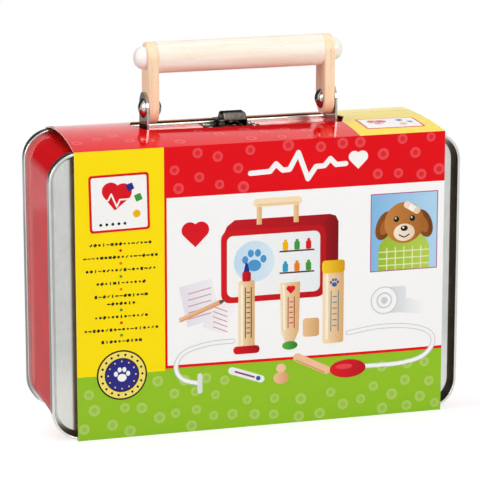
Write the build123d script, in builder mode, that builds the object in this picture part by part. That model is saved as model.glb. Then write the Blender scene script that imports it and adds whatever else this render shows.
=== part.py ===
"""Toy doctor case: a pressed-tin suitcase with a wooden handle, a printed card sleeve and wooden toys.

Millimetres. X runs to the right, Y to the back and Z up. The case stands on its hinge side, and the
origin is under the middle of it. The deep body is in front and the shallow lid behind, split by a
plane across Y. Every piece is a separate solid, written to parts/ under its own name.
"""

import os
from math import cos, pi

from build123d import *

# ---------------------------------------------------------------- driving dimensions

# tin case, measured over its rims
case_width = 210.0
case_height = 144.0
case_depth = 64.0
corner_radius = 15.0
tin = 0.4                   # thickness of the tinplate
rim_stand = 2.0             # the rims stand this far proud of the walls
rim_bead = 1.2              # width of the rolled edge at a rim's face
rim_slope = 2.1             # a rim's inner side slopes in by this much down to its panel
rim_round = 0.5             # rounding of a rim's edges
panel_recess = 5.0          # a panel lies this far behind its rim's face
seam_grip = 1.6             # depth of wall edge held inside a rim

# split between body and lid
lid_depth = 13.0            # parting line to the lid's rim face
parting_gap = 0.3
lip_reach = 5.0             # the body's inner lip enters the lid by this much
lip_root = 2.0
lip_thickness = 0.5
lip_clearance = 0.3

# printed card sleeve round the case
card = 0.45
card_gap = 0.05
sleeve_width = 189.0
sleeve_shift = 2.0          # the sleeve sits this far right of the middle
sleeve_arch_left = 3.7      # rise of the card between its two top folds, at its left edge
sleeve_arch_right = 1.2     # and at its right edge
sleeve_split = 0.3
underside_slit = 4.8        # slit under the hinges, so that the lid's half can turn
slot_depth = 32.7           # the handle slot, front to back
slot_back_margin = 4.3      # card left behind the slot
slot_left = 55.0
slot_right = 57.0
slot_taper = 5.5            # length of the pointed ends

# hinges on the underside
hinge_spacing = 120.0
hinge_width = 24.0
hinge_leaf = 7.2
leaf_thickness = 0.5
knuckle_radius = 1.0
hinge_pin_radius = 0.5
knuckle_gap = 0.3
running_clearance = 0.05

# wooden handle
pivot_inset = 15.0          # pivot in front of the parting line
pivot_height = 15.0         # pivot above the case's top wall
grip_height = 25.1          # grip axis above the pivot
grip_radius = 7.85
grip_length = 85.5
arm_thickness = 5.15
arm_round = 0.5
end_cap_radius = 5.65
end_cap_height = 5.6
grip_screw_radius = 1.5
grip_screw_length = 26.0
screw_head_radius = 2.9
screw_head_height = 1.4

# steel brackets and rivets that carry the handle
bracket_sheet = 1.0
bracket_width = 16.0
bracket_gap = 0.3
bracket_foot = 14.0
pivot_shaft_radius = 2.0
dome_radius = 5.0
dome_height = 2.4
rivet_radius = 1.4
rivet_head_radius = 2.6
rivet_head_height = 0.9

# toggle latch on the top
latch_sheet = 0.8
latch_base_width = 26.0
latch_base_depth = 6.6
latch_pin_radius = 0.8
latch_pin_height = 2.7      # pin axis above the case's top wall
latch_pin_inset = 5.6       # pin axis behind the parting line
hasp_barrel_radius = 1.5
hasp_width = 12.3
hasp_length = 16.0
hasp_height = 8.5           # top of the raised hasp above the case's top wall
hasp_lift = 1.2             # the hasp's lower edges above the case's top wall
ear_thickness = 1.2
catch_width = 29.0
catch_depth = 9.3
catch_bow = 7.0             # how far the catch plate's front edge bows forward
stud_radius = 2.5
stud_height = 2.2
small_rivet_radius = 0.9
small_rivet_head = 1.6
small_rivet_height = 0.6

# thermoformed insert tray and the toys that lie in it
tray_sheet = 0.8
tray_height = 22.0
tray_clearance = 0.3
round_sink = 13.0           # depth of the pockets for round toys
slim_sink = 5.0             # depth of the pockets for flat toys
pocket_corner = 1.5
pocket_fit = 0.5            # room round a toy in its pocket
seat_gap = 0.3              # room under it

barrel_radius = 8.0
barrel_length = 62.0
barrel_bore = 5.0
barrel_floor = 6.0
flange_radius = 11.0
flange_thickness = 3.0
nozzle_radius = 3.5
nozzle_length = 12.0
rod_radius = 3.0
piston_length = 8.0
rod_showing = 8.0           # rod between flange and thumb disc when pushed home
thumb_radius = 8.0
thumb_thickness = 3.0
plunger_travel = 25.0

tube_radius = 9.0
tube_length = 62.0
tube_bore = 7.0
tube_floor = 6.0
tube_cap_radius = 10.0
tube_cap_length = 13.0
tube_cap_socket = 5.0
ampoule_radius = 7.0
ampoule_length = 44.0
ampoule_taper = 14.0
ampoule_tip_radius = 2.5
ampoule_foot_radius = 9.0
ampoule_foot_height = 4.0
thermometer_width = 11.0
thermometer_length = 100.0
thermometer_thickness = 4.0
spatula_width = 17.0
spatula_length = 110.0
spatula_thickness = 2.2
otoscope_radius = 8.0
otoscope_length = 30.0
otoscope_neck = 3.5
stub_radius = 9.0
stub_length = 20.0
stub_round = 1.5
bandage_radius = 10.0
bandage_core = 3.0
bandage_length = 40.0
gauze_side = 36.0
gauze_thickness = 9.0
pencil_flats = 7.0
pencil_length = 90.0
pencil_point = 14.0
pencil_lead = 1.0
notes_width = 46.0
notes_length = 60.0
notes_thickness = 1.6

# ---------------------------------------------------------------- derived places

half_depth = case_depth / 2
case_bottom = card + card_gap
case_middle = case_bottom + case_height / 2
case_top = case_bottom + case_height
wall_bottom = case_bottom + rim_stand
wall_top = case_top - rim_stand
parting_y = half_depth - lid_depth
lid_edge_y = parting_y + parting_gap
rim_depth = panel_recess + tin
front_seam_y = rim_depth - half_depth - seam_grip
rear_seam_y = half_depth - rim_depth + seam_grip
hinge_y = parting_y + parting_gap / 2
hinge_z = wall_bottom - leaf_thickness / 2 - knuckle_radius
sleeve_half_depth = half_depth + card + card_gap
sleeve_top = case_top + card + card_gap
sleeve_left = sleeve_shift - sleeve_width / 2
pivot_y = parting_y - pivot_inset
pivot_z = wall_top + pivot_height
grip_z = pivot_z + grip_height
arm_inner = grip_length / 2
arm_outer = arm_inner + arm_thickness
bracket_inner = arm_outer + bracket_gap
bracket_outer = bracket_inner + bracket_sheet
latch_y = parting_y + latch_pin_inset
latch_z = wall_top + latch_pin_height
catch_back_y = parting_y - parting_gap
stud_y = catch_back_y - catch_depth / 2
panel_back_y = rim_depth - half_depth
tray_back_y = panel_back_y + tray_clearance
deck_y = tray_back_y + tray_height

os.makedirs("parts", exist_ok=True)


def write(piece, name):
    """Label a finished piece and write it under its own name."""
    piece.part.label = name
    export_step(piece.part, f"parts/{name}.step")


def at_depth(y):
    """Plane at depth y, seen from the front: local x is X, local y is Z, and it faces -Y."""
    return Plane.XZ.offset(-y)


def at_side(x):
    """Plane at the given x: local x is Y, local y is Z, and it faces +X."""
    return Plane.YZ.offset(x)


# ---------------------------------------------------------------- tin case


def case_rectangle(inset, mode=Mode.ADD):
    """The case's rounded outline, inset from the rims' outer edge."""
    with Locations((0, case_middle)):
        RectangleRounded(case_width - 2 * inset, case_height - 2 * inset,
                         corner_radius - inset, mode=mode)


def case_ring(y_front, y_back, outer_inset, inner_inset, mode=Mode.ADD):
    """A ring of the case's outline between two insets and two depths."""
    with BuildSketch(at_depth(y_back)) as ring:
        case_rectangle(outer_inset)
        case_rectangle(inner_inset, Mode.SUBTRACT)
    extrude(ring.sketch, amount=y_back - y_front, mode=mode)


def case_block(y_front, y_back, inset, mode=Mode.ADD):
    """A solid block of the case's outline between two depths."""
    with BuildSketch(at_depth(y_back)) as block:
        case_rectangle(inset)
    extrude(block.sketch, amount=y_back - y_front, mode=mode)


def top_holes(points, radius):
    """Drill the top wall at the given X, Y points."""
    with BuildSketch(Plane.XY.offset(wall_top)) as holes:
        with Locations(*points):
            Circle(radius)
    extrude(holes.sketch, amount=tin + lip_thickness, both=True, mode=Mode.SUBTRACT)


foot_rivets = [(side * (bracket_outer + bracket_foot / 2), pivot_y) for side in (-1, 1)]
catch_rivet_x = catch_width / 2 - 2 * small_rivet_head
catch_rivets = [(side * catch_rivet_x, catch_back_y - 2 * small_rivet_head) for side in (-1, 1)]
base_rivet_x = latch_base_width / 2 - 1.5 * small_rivet_head
base_back_y = lid_edge_y + parting_gap + latch_base_depth
base_rivets = [(side * base_rivet_x, base_back_y - latch_base_depth / 2) for side in (-1, 1)]

wall_inset = rim_stand + tin
lip_inset = wall_inset + lip_clearance
with BuildPart() as body_band:
    case_ring(front_seam_y, parting_y, rim_stand, wall_inset)
    case_ring(parting_y - lip_root, parting_y, wall_inset, lip_inset + lip_thickness)
    case_ring(parting_y - lip_root, parting_y + lip_reach, lip_inset, lip_inset + lip_thickness)
    top_holes(foot_rivets, rivet_radius + running_clearance)
    top_holes(catch_rivets, small_rivet_radius + running_clearance)
write(body_band, "body_band")

with BuildPart() as lid_band:
    case_ring(lid_edge_y, rear_seam_y, rim_stand, wall_inset)
    top_holes(base_rivets, small_rivet_radius + running_clearance)
write(lid_band, "lid_band")

with BuildPart() as body_panel:
    case_block(-half_depth, panel_back_y, 0)
    with BuildSketch(at_depth(-half_depth)) as dish_mouth:
        case_rectangle(rim_bead)
    with BuildSketch(at_depth(panel_back_y - tin)) as dish_floor:
        case_rectangle(rim_bead + rim_slope)
    loft([dish_mouth.sketch.face(), dish_floor.sketch.face()], mode=Mode.SUBTRACT)
    fillet(body_panel.edges().group_by(Axis.Y)[0], rim_round)
    fillet(body_panel.edges().group_by(Axis.Y)[-1], rim_round)
    case_ring(front_seam_y - running_clearance, panel_back_y,
              rim_stand - running_clearance, wall_inset + running_clearance, Mode.SUBTRACT)
write(body_panel, "body_panel")

with BuildPart() as lid_panel:
    mirror(body_panel.part, about=Plane.XZ)
write(lid_panel, "lid_panel")

# ---------------------------------------------------------------- card sleeve


def sleeve_loop(thinner, mode=Mode.ADD):
    """The closed loop of card, filled, with its faces the given amount inside the card's outer ones."""
    half = sleeve_half_depth - thinner
    top = sleeve_top - thinner
    ends = []
    for x, arch in ((sleeve_left, sleeve_arch_left), (sleeve_left + sleeve_width, sleeve_arch_right)):
        with BuildSketch(at_side(x)) as end:
            with BuildLine():
                Polyline((-half, top), (-half, thinner), (half, thinner), (half, top))
                ThreePointArc((half, top), (0, top + arch), (-half, top))
            make_face()
        ends.append(end.sketch.face())
    loft(ends, ruled=True, mode=mode)


def sleeve_half(y_front, y_back_top, underside_front, underside_back):
    """The part of the sleeve between two depths, with its own limits along the underside."""
    sleeve_loop(0)
    sleeve_loop(card, Mode.SUBTRACT)
    with BuildSketch(Plane.XY.offset(-1)) as kept:
        with Locations((sleeve_shift, (y_front + y_back_top) / 2)):
            Rectangle(sleeve_width + 2, y_back_top - y_front)
    extrude(kept.sketch, amount=2 * case_height, mode=Mode.INTERSECT)
    with BuildSketch(Plane.XY.offset(-1)) as slit:
        with Locations((sleeve_shift, (underside_front + underside_back) / 2)):
            Rectangle(sleeve_width + 2, underside_back - underside_front)
    extrude(slit.sketch, amount=1 + case_bottom, mode=Mode.SUBTRACT)
    with BuildSketch(Plane.XY.offset(case_middle)) as slot:
        back = sleeve_half_depth - slot_back_margin
        front = back - slot_depth
        middle = (front + back) / 2 - slot_taper / 2
        with BuildLine():
            Polyline((-slot_left, middle), (slot_taper - slot_left, front),
                     (slot_right - slot_taper, front), (slot_right, middle),
                     (slot_right - slot_taper, back), (slot_taper - slot_left, back), close=True)
        make_face()
    extrude(slot.sketch, amount=case_height, mode=Mode.SUBTRACT)


with BuildPart() as sleeve_front:
    sleeve_half(-sleeve_half_depth, hinge_y - sleeve_split / 2,
                hinge_y - underside_slit / 2, hinge_y)
write(sleeve_front, "sleeve_front")

with BuildPart() as sleeve_back:
    sleeve_half(hinge_y + sleeve_split / 2, sleeve_half_depth,
                hinge_y, hinge_y + underside_slit / 2)
write(sleeve_back, "sleeve_back")

# ---------------------------------------------------------------- hinges


def knuckle(x_from, x_to):
    """One hinge knuckle with its bore."""
    with BuildSketch(at_side(x_from)) as ring:
        with Locations((hinge_y, hinge_z)):
            Circle(knuckle_radius)
    extrude(ring.sketch, amount=x_to - x_from)


def pin_bore(x_from, x_to):
    """Clear the pin's way along a whole hinge."""
    with BuildSketch(at_side(x_from)) as bore:
        with Locations((hinge_y, hinge_z)):
            Circle(hinge_pin_radius + running_clearance)
    extrude(bore.sketch, amount=x_to - x_from, mode=Mode.SUBTRACT)


def leaf(x_from, x_to, y_from, y_to, mode=Mode.ADD):
    """A flat strip of hinge leaf against the underside of the walls."""
    with BuildSketch(Plane.XY.offset(wall_bottom - leaf_thickness)) as strip:
        with Locations(((x_from + x_to) / 2, (y_from + y_to) / 2)):
            Rectangle(x_to - x_from, y_to - y_from)
    extrude(strip.sketch, amount=leaf_thickness, mode=mode)


knuckle_pitch = hinge_width / 3
leaf_setback = knuckle_radius + knuckle_gap
for side, word in ((-1, "left"), (1, "right")):
    start = side * hinge_spacing / 2 - hinge_width / 2
    stop = start + hinge_width
    inner_start = start + knuckle_pitch
    inner_stop = stop - knuckle_pitch

    with BuildPart() as body_leaf:
        leaf(start, stop, hinge_y - hinge_leaf, hinge_y - leaf_setback)
        leaf(start, inner_start - knuckle_gap, hinge_y - leaf_setback, hinge_y)
        leaf(inner_stop + knuckle_gap, stop, hinge_y - leaf_setback, hinge_y)
        knuckle(start, inner_start - knuckle_gap)
        knuckle(inner_stop + knuckle_gap, stop)
        pin_bore(start, stop)
    write(body_leaf, f"{word}_hinge_body_leaf")

    with BuildPart() as lid_leaf:
        leaf(start, stop, hinge_y + leaf_setback, hinge_y + hinge_leaf)
        leaf(inner_start, inner_stop, hinge_y, hinge_y + leaf_setback)
        knuckle(inner_start, inner_stop)
        pin_bore(start, stop)
    write(lid_leaf, f"{word}_hinge_lid_leaf")

    with BuildPart() as hinge_pin:
        with BuildSketch(at_side(start)):
            with Locations((hinge_y, hinge_z)):
                Circle(hinge_pin_radius)
        extrude(amount=hinge_width)
    write(hinge_pin, f"{word}_hinge_pin")

# ---------------------------------------------------------------- handle


def side_circle(x, y, z, radius, thickness, mode=Mode.ADD):
    """A disc or bore with its axis along X, from the given x towards the side it is sketched on."""
    with BuildSketch(at_side(x)) as disc:
        with Locations((y, z)):
            Circle(radius)
    extrude(disc.sketch, amount=thickness, mode=mode)


def cap_height(rim, height, at):
    """Height of a spherical cap, of the given rim radius and height, at a distance from its axis."""
    ball = (rim ** 2 + height ** 2) / (2 * height)
    return (ball ** 2 - at ** 2) ** 0.5 - (ball - height)


screw_bore = grip_screw_radius + running_clearance
screw_depth = grip_screw_length - arm_thickness
with BuildPart() as grip:
    side_circle(-grip_length / 2, pivot_y, grip_z, grip_radius, grip_length)
    side_circle(-grip_length / 2, pivot_y, grip_z, screw_bore, screw_depth, Mode.SUBTRACT)
    side_circle(grip_length / 2, pivot_y, grip_z, screw_bore, -screw_depth, Mode.SUBTRACT)
write(grip, "grip")

for side, word in ((-1, "left"), (1, "right")):
    with BuildPart() as arm:
        with BuildSketch(at_side(side * arm_inner)) as blank:
            with Locations((pivot_y, pivot_z + grip_height / 2)):
                SlotCenterToCenter(grip_height, 2 * grip_radius, rotation=90)
        extrude(blank.sketch, amount=side * arm_thickness)
        fillet(arm.faces().sort_by(Axis.X)[0].edges(), arm_round)
        fillet(arm.faces().sort_by(Axis.X)[-1].edges(), arm_round)
        side_circle(side * arm_inner, pivot_y, grip_z, screw_bore,
                    side * arm_thickness, Mode.SUBTRACT)
        side_circle(side * arm_inner, pivot_y, pivot_z, pivot_shaft_radius + running_clearance,
                    side * arm_thickness, Mode.SUBTRACT)
    write(arm, f"{word}_arm")

    with BuildPart() as screw:
        side_circle(side * arm_outer, pivot_y, grip_z, grip_screw_radius,
                    -side * grip_screw_length)
        side_circle(side * arm_outer, pivot_y, grip_z, screw_head_radius,
                    side * screw_head_height)
    write(screw, f"{word}_grip_screw")

    with BuildPart() as end_cap:
        side_circle(side * arm_outer, pivot_y, grip_z, end_cap_radius, side * end_cap_height)
        crown = end_cap.faces().sort_by(Axis((0, 0, 0), (side, 0, 0)))[-1]
        fillet(crown.edges(), 0.8 * min(end_cap_height, end_cap_radius))
        side_circle(side * arm_outer, pivot_y, grip_z, screw_head_radius + running_clearance,
                    side * (screw_head_height + running_clearance), Mode.SUBTRACT)
    write(end_cap, f"{word}_end_cap")

    with BuildPart() as bracket:
        with BuildSketch(at_side(side * bracket_inner)) as tab:
            with Locations((pivot_y, pivot_z)):
                Circle(bracket_width / 2)
            with Locations((pivot_y, (wall_top + pivot_z) / 2)):
                Rectangle(bracket_width, pivot_height)
        extrude(tab.sketch, amount=side * bracket_sheet)
        with BuildSketch(Plane.XY.offset(wall_top)) as foot:
            with Locations((side * (bracket_inner + bracket_foot / 4), pivot_y)):
                Rectangle(bracket_foot / 2, bracket_width)
            with Locations((side * (bracket_inner + bracket_foot / 2), pivot_y)):
                Circle(bracket_width / 2)
            with Locations((side * (bracket_inner - bracket_width / 2), pivot_y)):
                Rectangle(bracket_width, bracket_width, mode=Mode.SUBTRACT)
        extrude(foot.sketch, amount=bracket_sheet)
        side_circle(side * bracket_inner, pivot_y, pivot_z, pivot_shaft_radius,
                    side * bracket_sheet, Mode.SUBTRACT)
        with BuildSketch(Plane.XY.offset(wall_top)) as foot_hole:
            with Locations((side * (bracket_outer + bracket_foot / 2), pivot_y)):
                Circle(rivet_radius + running_clearance)
        extrude(foot_hole.sketch, amount=bracket_sheet, mode=Mode.SUBTRACT)
    write(bracket, f"{word}_bracket")

    with BuildPart() as pivot_rivet:
        inner_face = side * (arm_inner - bracket_gap)
        outer_face = side * bracket_outer
        rise = side * dome_height
        shoulder = side * cap_height(dome_radius, dome_height, dome_radius / 2)
        with BuildSketch(Plane((0, pivot_y, pivot_z))) as half_section:
            with BuildLine():
                Line((inner_face - rise, 0), (outer_face + rise, 0))
                ThreePointArc((outer_face + rise, 0),
                              (outer_face + shoulder, dome_radius / 2),
                              (outer_face, dome_radius))
                Polyline((outer_face, dome_radius), (outer_face, pivot_shaft_radius),
                         (inner_face, pivot_shaft_radius), (inner_face, dome_radius))
                ThreePointArc((inner_face, dome_radius),
                              (inner_face - shoulder, dome_radius / 2),
                              (inner_face - rise, 0))
            make_face()
        revolve(half_section.sketch, axis=Axis((0, pivot_y, pivot_z), (1, 0, 0)))
    write(pivot_rivet, f"{word}_pivot_rivet")


def top_rivets(points, seat, radius, head_radius, head_height):
    """Round-headed rivets through the top wall, clinched on the inside."""
    with BuildSketch(Plane.XY.offset(wall_top - tin)) as shanks:
        with Locations(*points):
            Circle(radius)
    extrude(shanks.sketch, amount=tin + seat)
    with BuildSketch(Plane.XY.offset(wall_top + seat)) as heads:
        with Locations(*points):
            Circle(head_radius)
    extrude(heads.sketch, amount=head_height)
    fillet(faces().sort_by(Axis.Z)[-len(points):].edges(), 0.8 * head_height)
    with BuildSketch(Plane.XY.offset(wall_top - tin)) as clinches:
        with Locations(*points):
            Circle(0.8 * head_radius)
    extrude(clinches.sketch, amount=-0.5 * head_height)


with BuildPart() as bracket_rivets:
    top_rivets(foot_rivets, bracket_sheet, rivet_radius, rivet_head_radius, rivet_head_height)
write(bracket_rivets, "bracket_rivets")

# ---------------------------------------------------------------- latch

with BuildPart() as catch_plate:
    with BuildSketch(Plane.XY.offset(wall_top)) as half_moon:
        end_y = catch_back_y - catch_depth + catch_bow
        with BuildLine():
            Polyline((-catch_width / 2, end_y), (-catch_width / 2, catch_back_y),
                     (catch_width / 2, catch_back_y), (catch_width / 2, end_y))
            ThreePointArc((catch_width / 2, end_y), (0, catch_back_y - catch_depth),
                          (-catch_width / 2, end_y))
        make_face()
        with Locations(*catch_rivets):
            Circle(small_rivet_radius + running_clearance, mode=Mode.SUBTRACT)
    extrude(half_moon.sketch, amount=latch_sheet)
    with BuildSketch(Plane.XY.offset(wall_top + latch_sheet)) as stud:
        with Locations((0, stud_y)):
            Circle(stud_radius)
    extrude(stud.sketch, amount=stud_height)
    fillet(catch_plate.faces().sort_by(Axis.Z)[-1].edges(), 0.4 * stud_height)
write(catch_plate, "catch_plate")

with BuildPart() as catch_rivet_pair:
    top_rivets(catch_rivets, latch_sheet, small_rivet_radius, small_rivet_head,
               small_rivet_height)
write(catch_rivet_pair, "catch_rivets")

ear_inner = hasp_width / 2 + knuckle_gap
with BuildPart() as latch_base:
    with BuildSketch(Plane.XY.offset(wall_top)) as base:
        with Locations((0, base_back_y - latch_base_depth / 2)):
            Rectangle(latch_base_width, latch_base_depth)
        fillet(base.vertices(), latch_base_depth / 5)
        with Locations(*base_rivets):
            Circle(small_rivet_radius + running_clearance, mode=Mode.SUBTRACT)
    extrude(base.sketch, amount=latch_sheet)
    for side in (-1, 1):
        with BuildSketch(at_side(side * ear_inner)) as ear:
            with Locations((latch_y, latch_z)):
                Circle(hasp_barrel_radius)
            with Locations((latch_y, (wall_top + latch_z) / 2)):
                Rectangle(2 * hasp_barrel_radius, latch_pin_height)
            with Locations((latch_y, latch_z)):
                Circle(latch_pin_radius + running_clearance, mode=Mode.SUBTRACT)
        extrude(ear.sketch, amount=side * ear_thickness)
write(latch_base, "latch_base")

with BuildPart() as latch_base_rivets:
    top_rivets(base_rivets, latch_sheet, small_rivet_radius, small_rivet_head,
               small_rivet_height)
write(latch_base_rivets, "latch_base_rivets")

ear_outer = ear_inner + ear_thickness
with BuildPart() as latch_pin:
    side_circle(-ear_outer, latch_y, latch_z, latch_pin_radius, 2 * ear_outer)
write(latch_pin, "latch_pin")

hasp_low = wall_top + hasp_lift
hasp_top = wall_top + hasp_height
hasp_front = latch_y - hasp_length


def hasp_side(thinner, floor):
    """Side view of the raised hasp, drawn the given amount inside its outer face."""
    front = hasp_front - (1 if floor < hasp_low else 0)
    top = hasp_top - thinner
    back = latch_y - hasp_barrel_radius - thinner
    with BuildLine() as outline:
        Polyline((back, floor), (front, floor), (front, top - 0.35 * hasp_height))
        Line((front, top - 0.35 * hasp_height), (hasp_front + 0.25 * hasp_length, top))
        Line((hasp_front + 0.25 * hasp_length, top), (back - 0.25 * hasp_length, top))
        Line((back - 0.25 * hasp_length, top), (back, hasp_low + 0.35 * hasp_height))
        Line((back, hasp_low + 0.35 * hasp_height), (back, floor))
    make_face(outline.edges())


with BuildPart() as hasp:
    with BuildSketch(at_side(0)) as outer:
        hasp_side(0, hasp_low)
    extrude(outer.sketch, amount=hasp_width / 2, both=True)
    fillet(hasp.edges().filter_by(Axis.X).group_by(Axis.Z)[-1], hasp_height / 6)
    fillet(hasp.faces().sort_by(Axis.X)[0].edges().filter_by(lambda e: e.center().Z > hasp_low + 2),
           hasp_height / 8)
    fillet(hasp.faces().sort_by(Axis.X)[-1].edges().filter_by(lambda e: e.center().Z > hasp_low + 2),
           hasp_height / 8)
    with BuildSketch(at_side(0)) as inner:
        hasp_side(latch_sheet, hasp_low - 1)
    extrude(inner.sketch, amount=hasp_width / 2 - latch_sheet, both=True, mode=Mode.SUBTRACT)
    side_circle(-hasp_width / 2, latch_y, latch_z, hasp_barrel_radius, hasp_width)
    with BuildSketch(at_side(0)) as web:
        with Locations((latch_y - hasp_barrel_radius, latch_z)):
            Rectangle(2 * hasp_barrel_radius, 2 * latch_sheet)
    extrude(web.sketch, amount=hasp_width / 2, both=True)
    side_circle(-hasp_width / 2, latch_y, latch_z, latch_pin_radius + running_clearance,
                hasp_width, Mode.SUBTRACT)
write(hasp, "hasp")

# ---------------------------------------------------------------- toys and their tray


def upright(x, y, z, radius, length, mode=Mode.ADD):
    """A round bar or bore standing along Z from the given height."""
    with BuildSketch(Plane.XY.offset(z)) as disc:
        with Locations((x, y)):
            Circle(radius)
    extrude(disc.sketch, amount=length, mode=mode)


def tapered(x, y, z, low_radius, high_radius, length):
    """A cone along Z between two radii."""
    with BuildSketch(Plane.XY.offset(z)) as low:
        with Locations((x, y)):
            Circle(low_radius)
    with BuildSketch(Plane.XY.offset(z + length)) as high:
        with Locations((x, y)):
            Circle(high_radius)
    loft([low.sketch, high.sketch])


def lying_axis(radius, sink):
    """Depth of a round toy's axis when its underside rests at the bottom of a pocket."""
    return deck_y - sink + seat_gap + radius


syringe_y = lying_axis(flange_radius, round_sink)
tube_y = lying_axis(tube_cap_radius, round_sink)
ampoule_y = lying_axis(ampoule_foot_radius, round_sink)
otoscope_y = lying_axis(otoscope_radius, round_sink)
stub_y = lying_axis(stub_radius, round_sink)
bandage_y = lying_axis(bandage_radius, round_sink)
pencil_y = lying_axis(pencil_flats / 2, slim_sink)
flat_front = deck_y - slim_sink + seat_gap

syringe_home = nozzle_length + barrel_length + flange_thickness + rod_showing + thumb_thickness
pencil_width = pencil_flats / cos(pi / 6)

# columns of toys from left to right; in each, from the bottom up: name, width, length, depth
columns = [
    [("syringe", 2 * flange_radius, syringe_home + plunger_travel, round_sink)],
    [("otoscope", 2 * otoscope_radius, otoscope_length, round_sink),
     ("tube", 2 * tube_cap_radius, tube_length + tube_cap_length - tube_cap_socket, round_sink)],
    [("bandage", 2 * bandage_radius, bandage_length, round_sink),
     ("ampoule", 2 * ampoule_foot_radius,
      ampoule_foot_height + ampoule_length + ampoule_taper, round_sink)],
    [("thermometer", thermometer_width, thermometer_length, slim_sink)],
    [("spatula", spatula_width, spatula_length, slim_sink)],
    [("pencil", pencil_width, pencil_length + pencil_point, slim_sink)],
    [("notes", notes_width, notes_length, slim_sink),
     ("gauze", gauze_side, gauze_side, round_sink),
     ("stub", 2 * stub_radius, stub_length, round_sink)],
]


def spread(lengths, low, high):
    """Start of each length when they are spread between two limits with equal gaps."""
    gap = (high - low - sum(lengths)) / (len(lengths) + 1)
    return [low + gap * (i + 1) + sum(lengths[:i]) for i in range(len(lengths))]


tray_inset = lip_inset + lip_thickness + tray_clearance
tray_half_width = case_width / 2 - tray_inset
column_widths = [max(width for _, width, _, _ in column) for column in columns]
column_starts = spread(column_widths, -tray_half_width, tray_half_width)
place = {}                  # toy -> (X of its middle, Z of its lower end)
pockets = []                # (middle X, low Z, width, length, depth) of each pocket
for column, column_width, column_start in zip(columns, column_widths, column_starts):
    column_x = column_start + column_width / 2
    lows = spread([length for _, _, length, _ in column],
                  case_bottom + tray_inset, case_top - tray_inset)
    for (toy, width, length, depth), low in zip(column, lows):
        place[toy] = (column_x, low)
        pockets.append((column_x, low, width, length, depth))


def pocket_block(pocket, grow, mode=Mode.ADD):
    """One pocket as a block, grown outwards by the given amount on its sides and floor."""
    x, z, width, length, sink = pocket
    with BuildSketch(at_depth(deck_y)) as outline:
        with Locations((x, z + length / 2)):
            RectangleRounded(width + 2 * (pocket_fit + grow), length + 2 * (pocket_fit + grow),
                             pocket_corner + grow)
    extrude(outline.sketch, amount=sink + grow, mode=mode)


with BuildPart() as insert_tray:
    case_block(tray_back_y, deck_y, tray_inset)
    case_block(tray_back_y, deck_y - tray_sheet, tray_inset + tray_sheet, Mode.SUBTRACT)
    for pocket in pockets:
        pocket_block(pocket, tray_sheet)
    for pocket in pockets:
        pocket_block(pocket, 0, Mode.SUBTRACT)
write(insert_tray, "insert_tray")

syringe_x, syringe_z = place["syringe"]
barrel_z = syringe_z + nozzle_length
flange_z = barrel_z + barrel_length
thumb_z = flange_z + flange_thickness + rod_showing
with BuildPart() as syringe_barrel:
    upright(syringe_x, syringe_y, barrel_z, barrel_radius, barrel_length)
    upright(syringe_x, syringe_y, flange_z, barrel_bore, barrel_floor - barrel_length,
            Mode.SUBTRACT)
write(syringe_barrel, "syringe_barrel")

with BuildPart() as syringe_flange:
    upright(syringe_x, syringe_y, flange_z, flange_radius, flange_thickness)
    fillet(syringe_flange.edges().group_by(Axis.Z)[-1], flange_thickness / 4)
    upright(syringe_x, syringe_y, flange_z, rod_radius + running_clearance, flange_thickness,
            Mode.SUBTRACT)
write(syringe_flange, "syringe_flange")

with BuildPart() as syringe_nozzle:
    tapered(syringe_x, syringe_y, syringe_z, nozzle_radius / 2, nozzle_radius, nozzle_length)
write(syringe_nozzle, "syringe_nozzle")

with BuildPart() as syringe_plunger:
    piston_z = barrel_z + barrel_floor + seat_gap
    upright(syringe_x, syringe_y, piston_z, barrel_bore - running_clearance, piston_length)
    upright(syringe_x, syringe_y, piston_z, rod_radius, thumb_z - piston_z)
    upright(syringe_x, syringe_y, thumb_z, thumb_radius, thumb_thickness)
    fillet(syringe_plunger.edges().group_by(Axis.Z)[-1], thumb_thickness / 4)
write(syringe_plunger, "syringe_plunger")

tube_x, tube_z = place["tube"]
with BuildPart() as tube:
    upright(tube_x, tube_y, tube_z, tube_radius, tube_length)
    fillet(tube.edges().group_by(Axis.Z)[0], tube_radius / 3)
    upright(tube_x, tube_y, tube_z + tube_length, tube_bore, tube_floor - tube_length,
            Mode.SUBTRACT)
write(tube, "tube")

with BuildPart() as tube_cap:
    cap_z = tube_z + tube_length - tube_cap_socket
    upright(tube_x, tube_y, cap_z, tube_cap_radius, tube_cap_length)
    fillet(tube_cap.edges().group_by(Axis.Z)[-1], tube_cap_radius / 5)
    upright(tube_x, tube_y, cap_z, tube_radius + running_clearance, tube_cap_socket,
            Mode.SUBTRACT)
write(tube_cap, "tube_cap")

ampoule_x, ampoule_z = place["ampoule"]
shoulder_z = ampoule_z + ampoule_foot_height + ampoule_length
with BuildPart() as ampoule:
    upright(ampoule_x, ampoule_y, shoulder_z, ampoule_radius, -ampoule_length)
    tapered(ampoule_x, ampoule_y, shoulder_z, ampoule_radius,
            ampoule_tip_radius, ampoule_taper)
write(ampoule, "ampoule")

with BuildPart() as ampoule_foot:
    upright(ampoule_x, ampoule_y, ampoule_z, ampoule_foot_radius, ampoule_foot_height)
    fillet(ampoule_foot.edges(), ampoule_foot_height / 4)
write(ampoule_foot, "ampoule_foot")


def flat_stick(toy, width, length, thickness):
    """A flat round-ended stick lying in its slim pocket."""
    x, z = place[toy]
    with BuildSketch(at_depth(flat_front)) as outline:
        with Locations((x, z + length / 2)):
            SlotOverall(length, width, rotation=90)
    extrude(outline.sketch, amount=-thickness)


def flat_pad(toy, front, width, length, thickness):
    """A flat rectangular piece lying in its pocket."""
    x, z = place[toy]
    with BuildSketch(at_depth(front)) as outline:
        with Locations((x, z + length / 2)):
            Rectangle(width, length)
    extrude(outline.sketch, amount=-thickness)


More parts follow.
